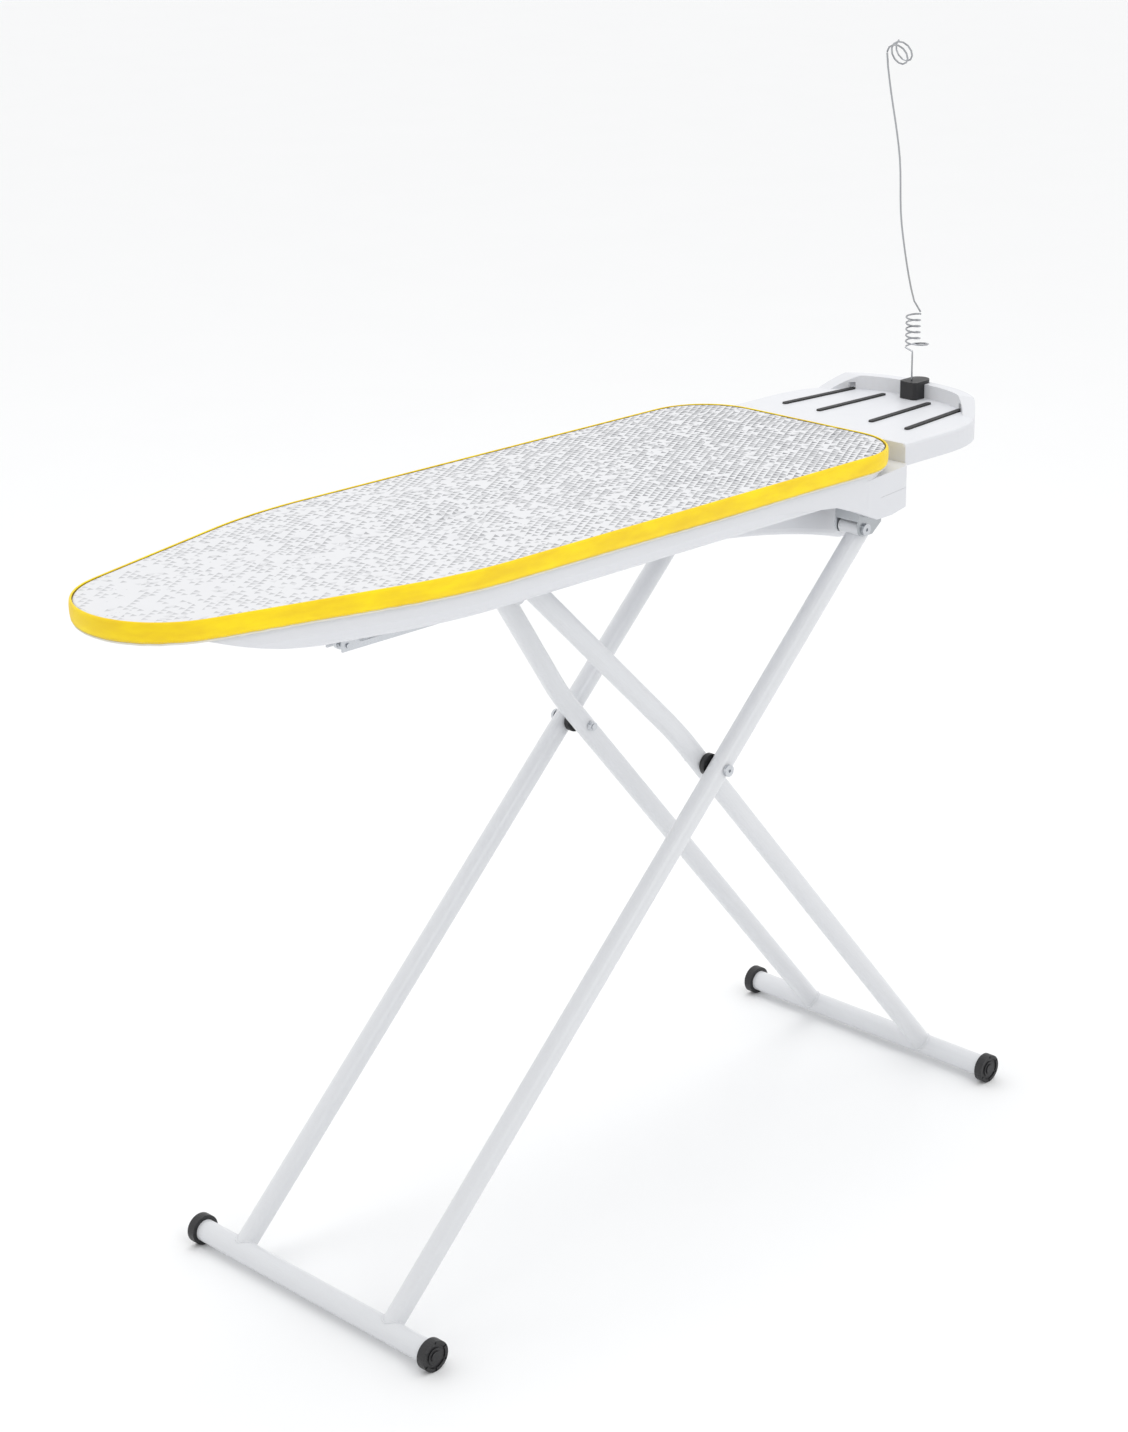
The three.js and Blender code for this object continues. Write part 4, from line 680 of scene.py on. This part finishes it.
def make_welds(material):
    """The four beads, on the line from each foot bar to the legs' crossing."""
    places = {joint["name"]: Vector(joint["pos_m"]) for joint in frame["joints"]}
    crossing = places["leg_cross"]
    for part, bar in (("outer", "front_foot_bar"), ("inner", "rear_foot_bar")):
        bar_low, bar_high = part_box(bar)
        foot = (bar_low + bar_high) / 2
        along = Vector((crossing.x - foot.x, 0, crossing.z - foot.z)).normalized()
        bar_radius = (bar_high.z - bar_low.z) / 2
        for side in ("near", "far"):
            low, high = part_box(f"{part}_leg_{side}")
            if part == "outer":
                y = (low.y + high.y) / 2
            elif side == "far":
                y = high.y - LEG_RADIUS
            else:
                y = low.y + LEG_RADIUS
            weld_bead(f"weld_{part}_{side}", f"{part}_legs", Vector((foot.x, y, foot.z)), along,
                      bar_radius, material)


# ---------------------------------------------------------------- the CAD nodes' finishes


SHARP_ANGLE = math.radians(32)


def rounded_edges(node, width, angle=35):
    """Bevels a node's sharp edges."""
    piece = nodes[node]
    bevel = piece.modifiers.new("edges", "BEVEL")
    bevel.width = width
    bevel.segments = 2
    bevel.limit_method = "ANGLE"
    bevel.angle_limit = math.radians(angle)


def smooth_by_angle():
    """One node group that shades a mesh smooth except across sharp edges."""
    group = bpy.data.node_groups.new("smooth_by_angle", "GeometryNodeTree")
    group.interface.new_socket("Geometry", in_out="INPUT", socket_type="NodeSocketGeometry")
    group.interface.new_socket("Geometry", in_out="OUTPUT", socket_type="NodeSocketGeometry")
    entry = group.nodes.new("NodeGroupInput")
    leave = group.nodes.new("NodeGroupOutput")
    angle = group.nodes.new("GeometryNodeInputMeshEdgeAngle")
    flat = group.nodes.new("FunctionNodeCompare")
    flat.operation = "LESS_EQUAL"
    flat.inputs["B"].default_value = SHARP_ANGLE
    faces = group.nodes.new("GeometryNodeSetShadeSmooth")
    faces.domain = "FACE"
    edges = group.nodes.new("GeometryNodeSetShadeSmooth")
    edges.domain = "EDGE"
    group.links.new(entry.outputs[0], faces.inputs["Geometry"])
    group.links.new(faces.outputs[0], edges.inputs["Geometry"])
    group.links.new(angle.outputs["Unsigned Angle"], flat.inputs["A"])
    group.links.new(flat.outputs["Result"], edges.inputs["Shade Smooth"])
    group.links.new(edges.outputs[0], leave.inputs[0])
    return group


def finish_nodes():
    """Materials, small bevels and shading for the CAD nodes; returns the legs' paint."""
    white = moulded_plastic("white_moulding", (0.70, 0.71, 0.74), 0.40, 1500.0, 0.00008, 0.02)
    paint = powder_coat("white_powder_coat", (0.70, 0.712, 0.735))
    black = moulded_plastic("black_moulding", (0.016, 0.016, 0.018), 0.46, 1100.0, 0.00018, 0.3)
    strip = rubber("strip_rubber", (0.014, 0.014, 0.015))
    grey = moulded_plastic("grey_moulding", (0.42, 0.43, 0.44), 0.5, 1200.0, 0.0001, 0.05)
    zinc = bare_metal("zinc_plate", (0.62, 0.64, 0.67), 0.3)
    steel = bare_metal("bracket_steel", (0.50, 0.52, 0.54), 0.36, (1, 1, 6))
    chrome = bare_metal("chrome_wire", (0.40, 0.41, 0.43), 0.22, (1, 1, 0.2), 0.00004)
    finishes = {
        "white_plastic": white,
        "white_paint": paint,
        "black_plastic": black,
        "black_rubber": strip,
        "grey_plastic": grey,
        "zinc_steel": zinc,
        "grey_steel": steel,
        "chrome_wire": chrome,
    }
    smoothing = smooth_by_angle()
    slots = {part["node"]: part["material_slot"] for part in frame["record"]["subparts"]}
    for name, piece in nodes.items():
        material = finishes.get(slots[name])
        if material is None:
            continue
        piece.data.materials.clear()
        piece.data.materials.append(material)
    rounded_edges("iron_tray", 0.8 * mm)
    for name in ("front_cap_near", "front_cap_far", "rear_cap_near", "rear_cap_far"):
        rounded_edges(name, 0.7 * mm, 40)
    for name in ("lock_grip", "cable_arm_socket"):
        rounded_edges(name, 0.7 * mm)
    for name, piece in nodes.items():
        modifier = piece.modifiers.new("shading", "NODES")
        modifier.node_group = smoothing
    return paint


make_camera()
make_studio()
powder = finish_nodes()
make_cover_top(printed_cotton(cover_low.x, cover_high.x))
thread = moulded_plastic("thread", (0.78, 0.66, 0.20), 0.7, 900.0, 0.0001, 0.1)
make_band(yellow_cotton(), hem_cotton(), thread)
make_welds(powder)
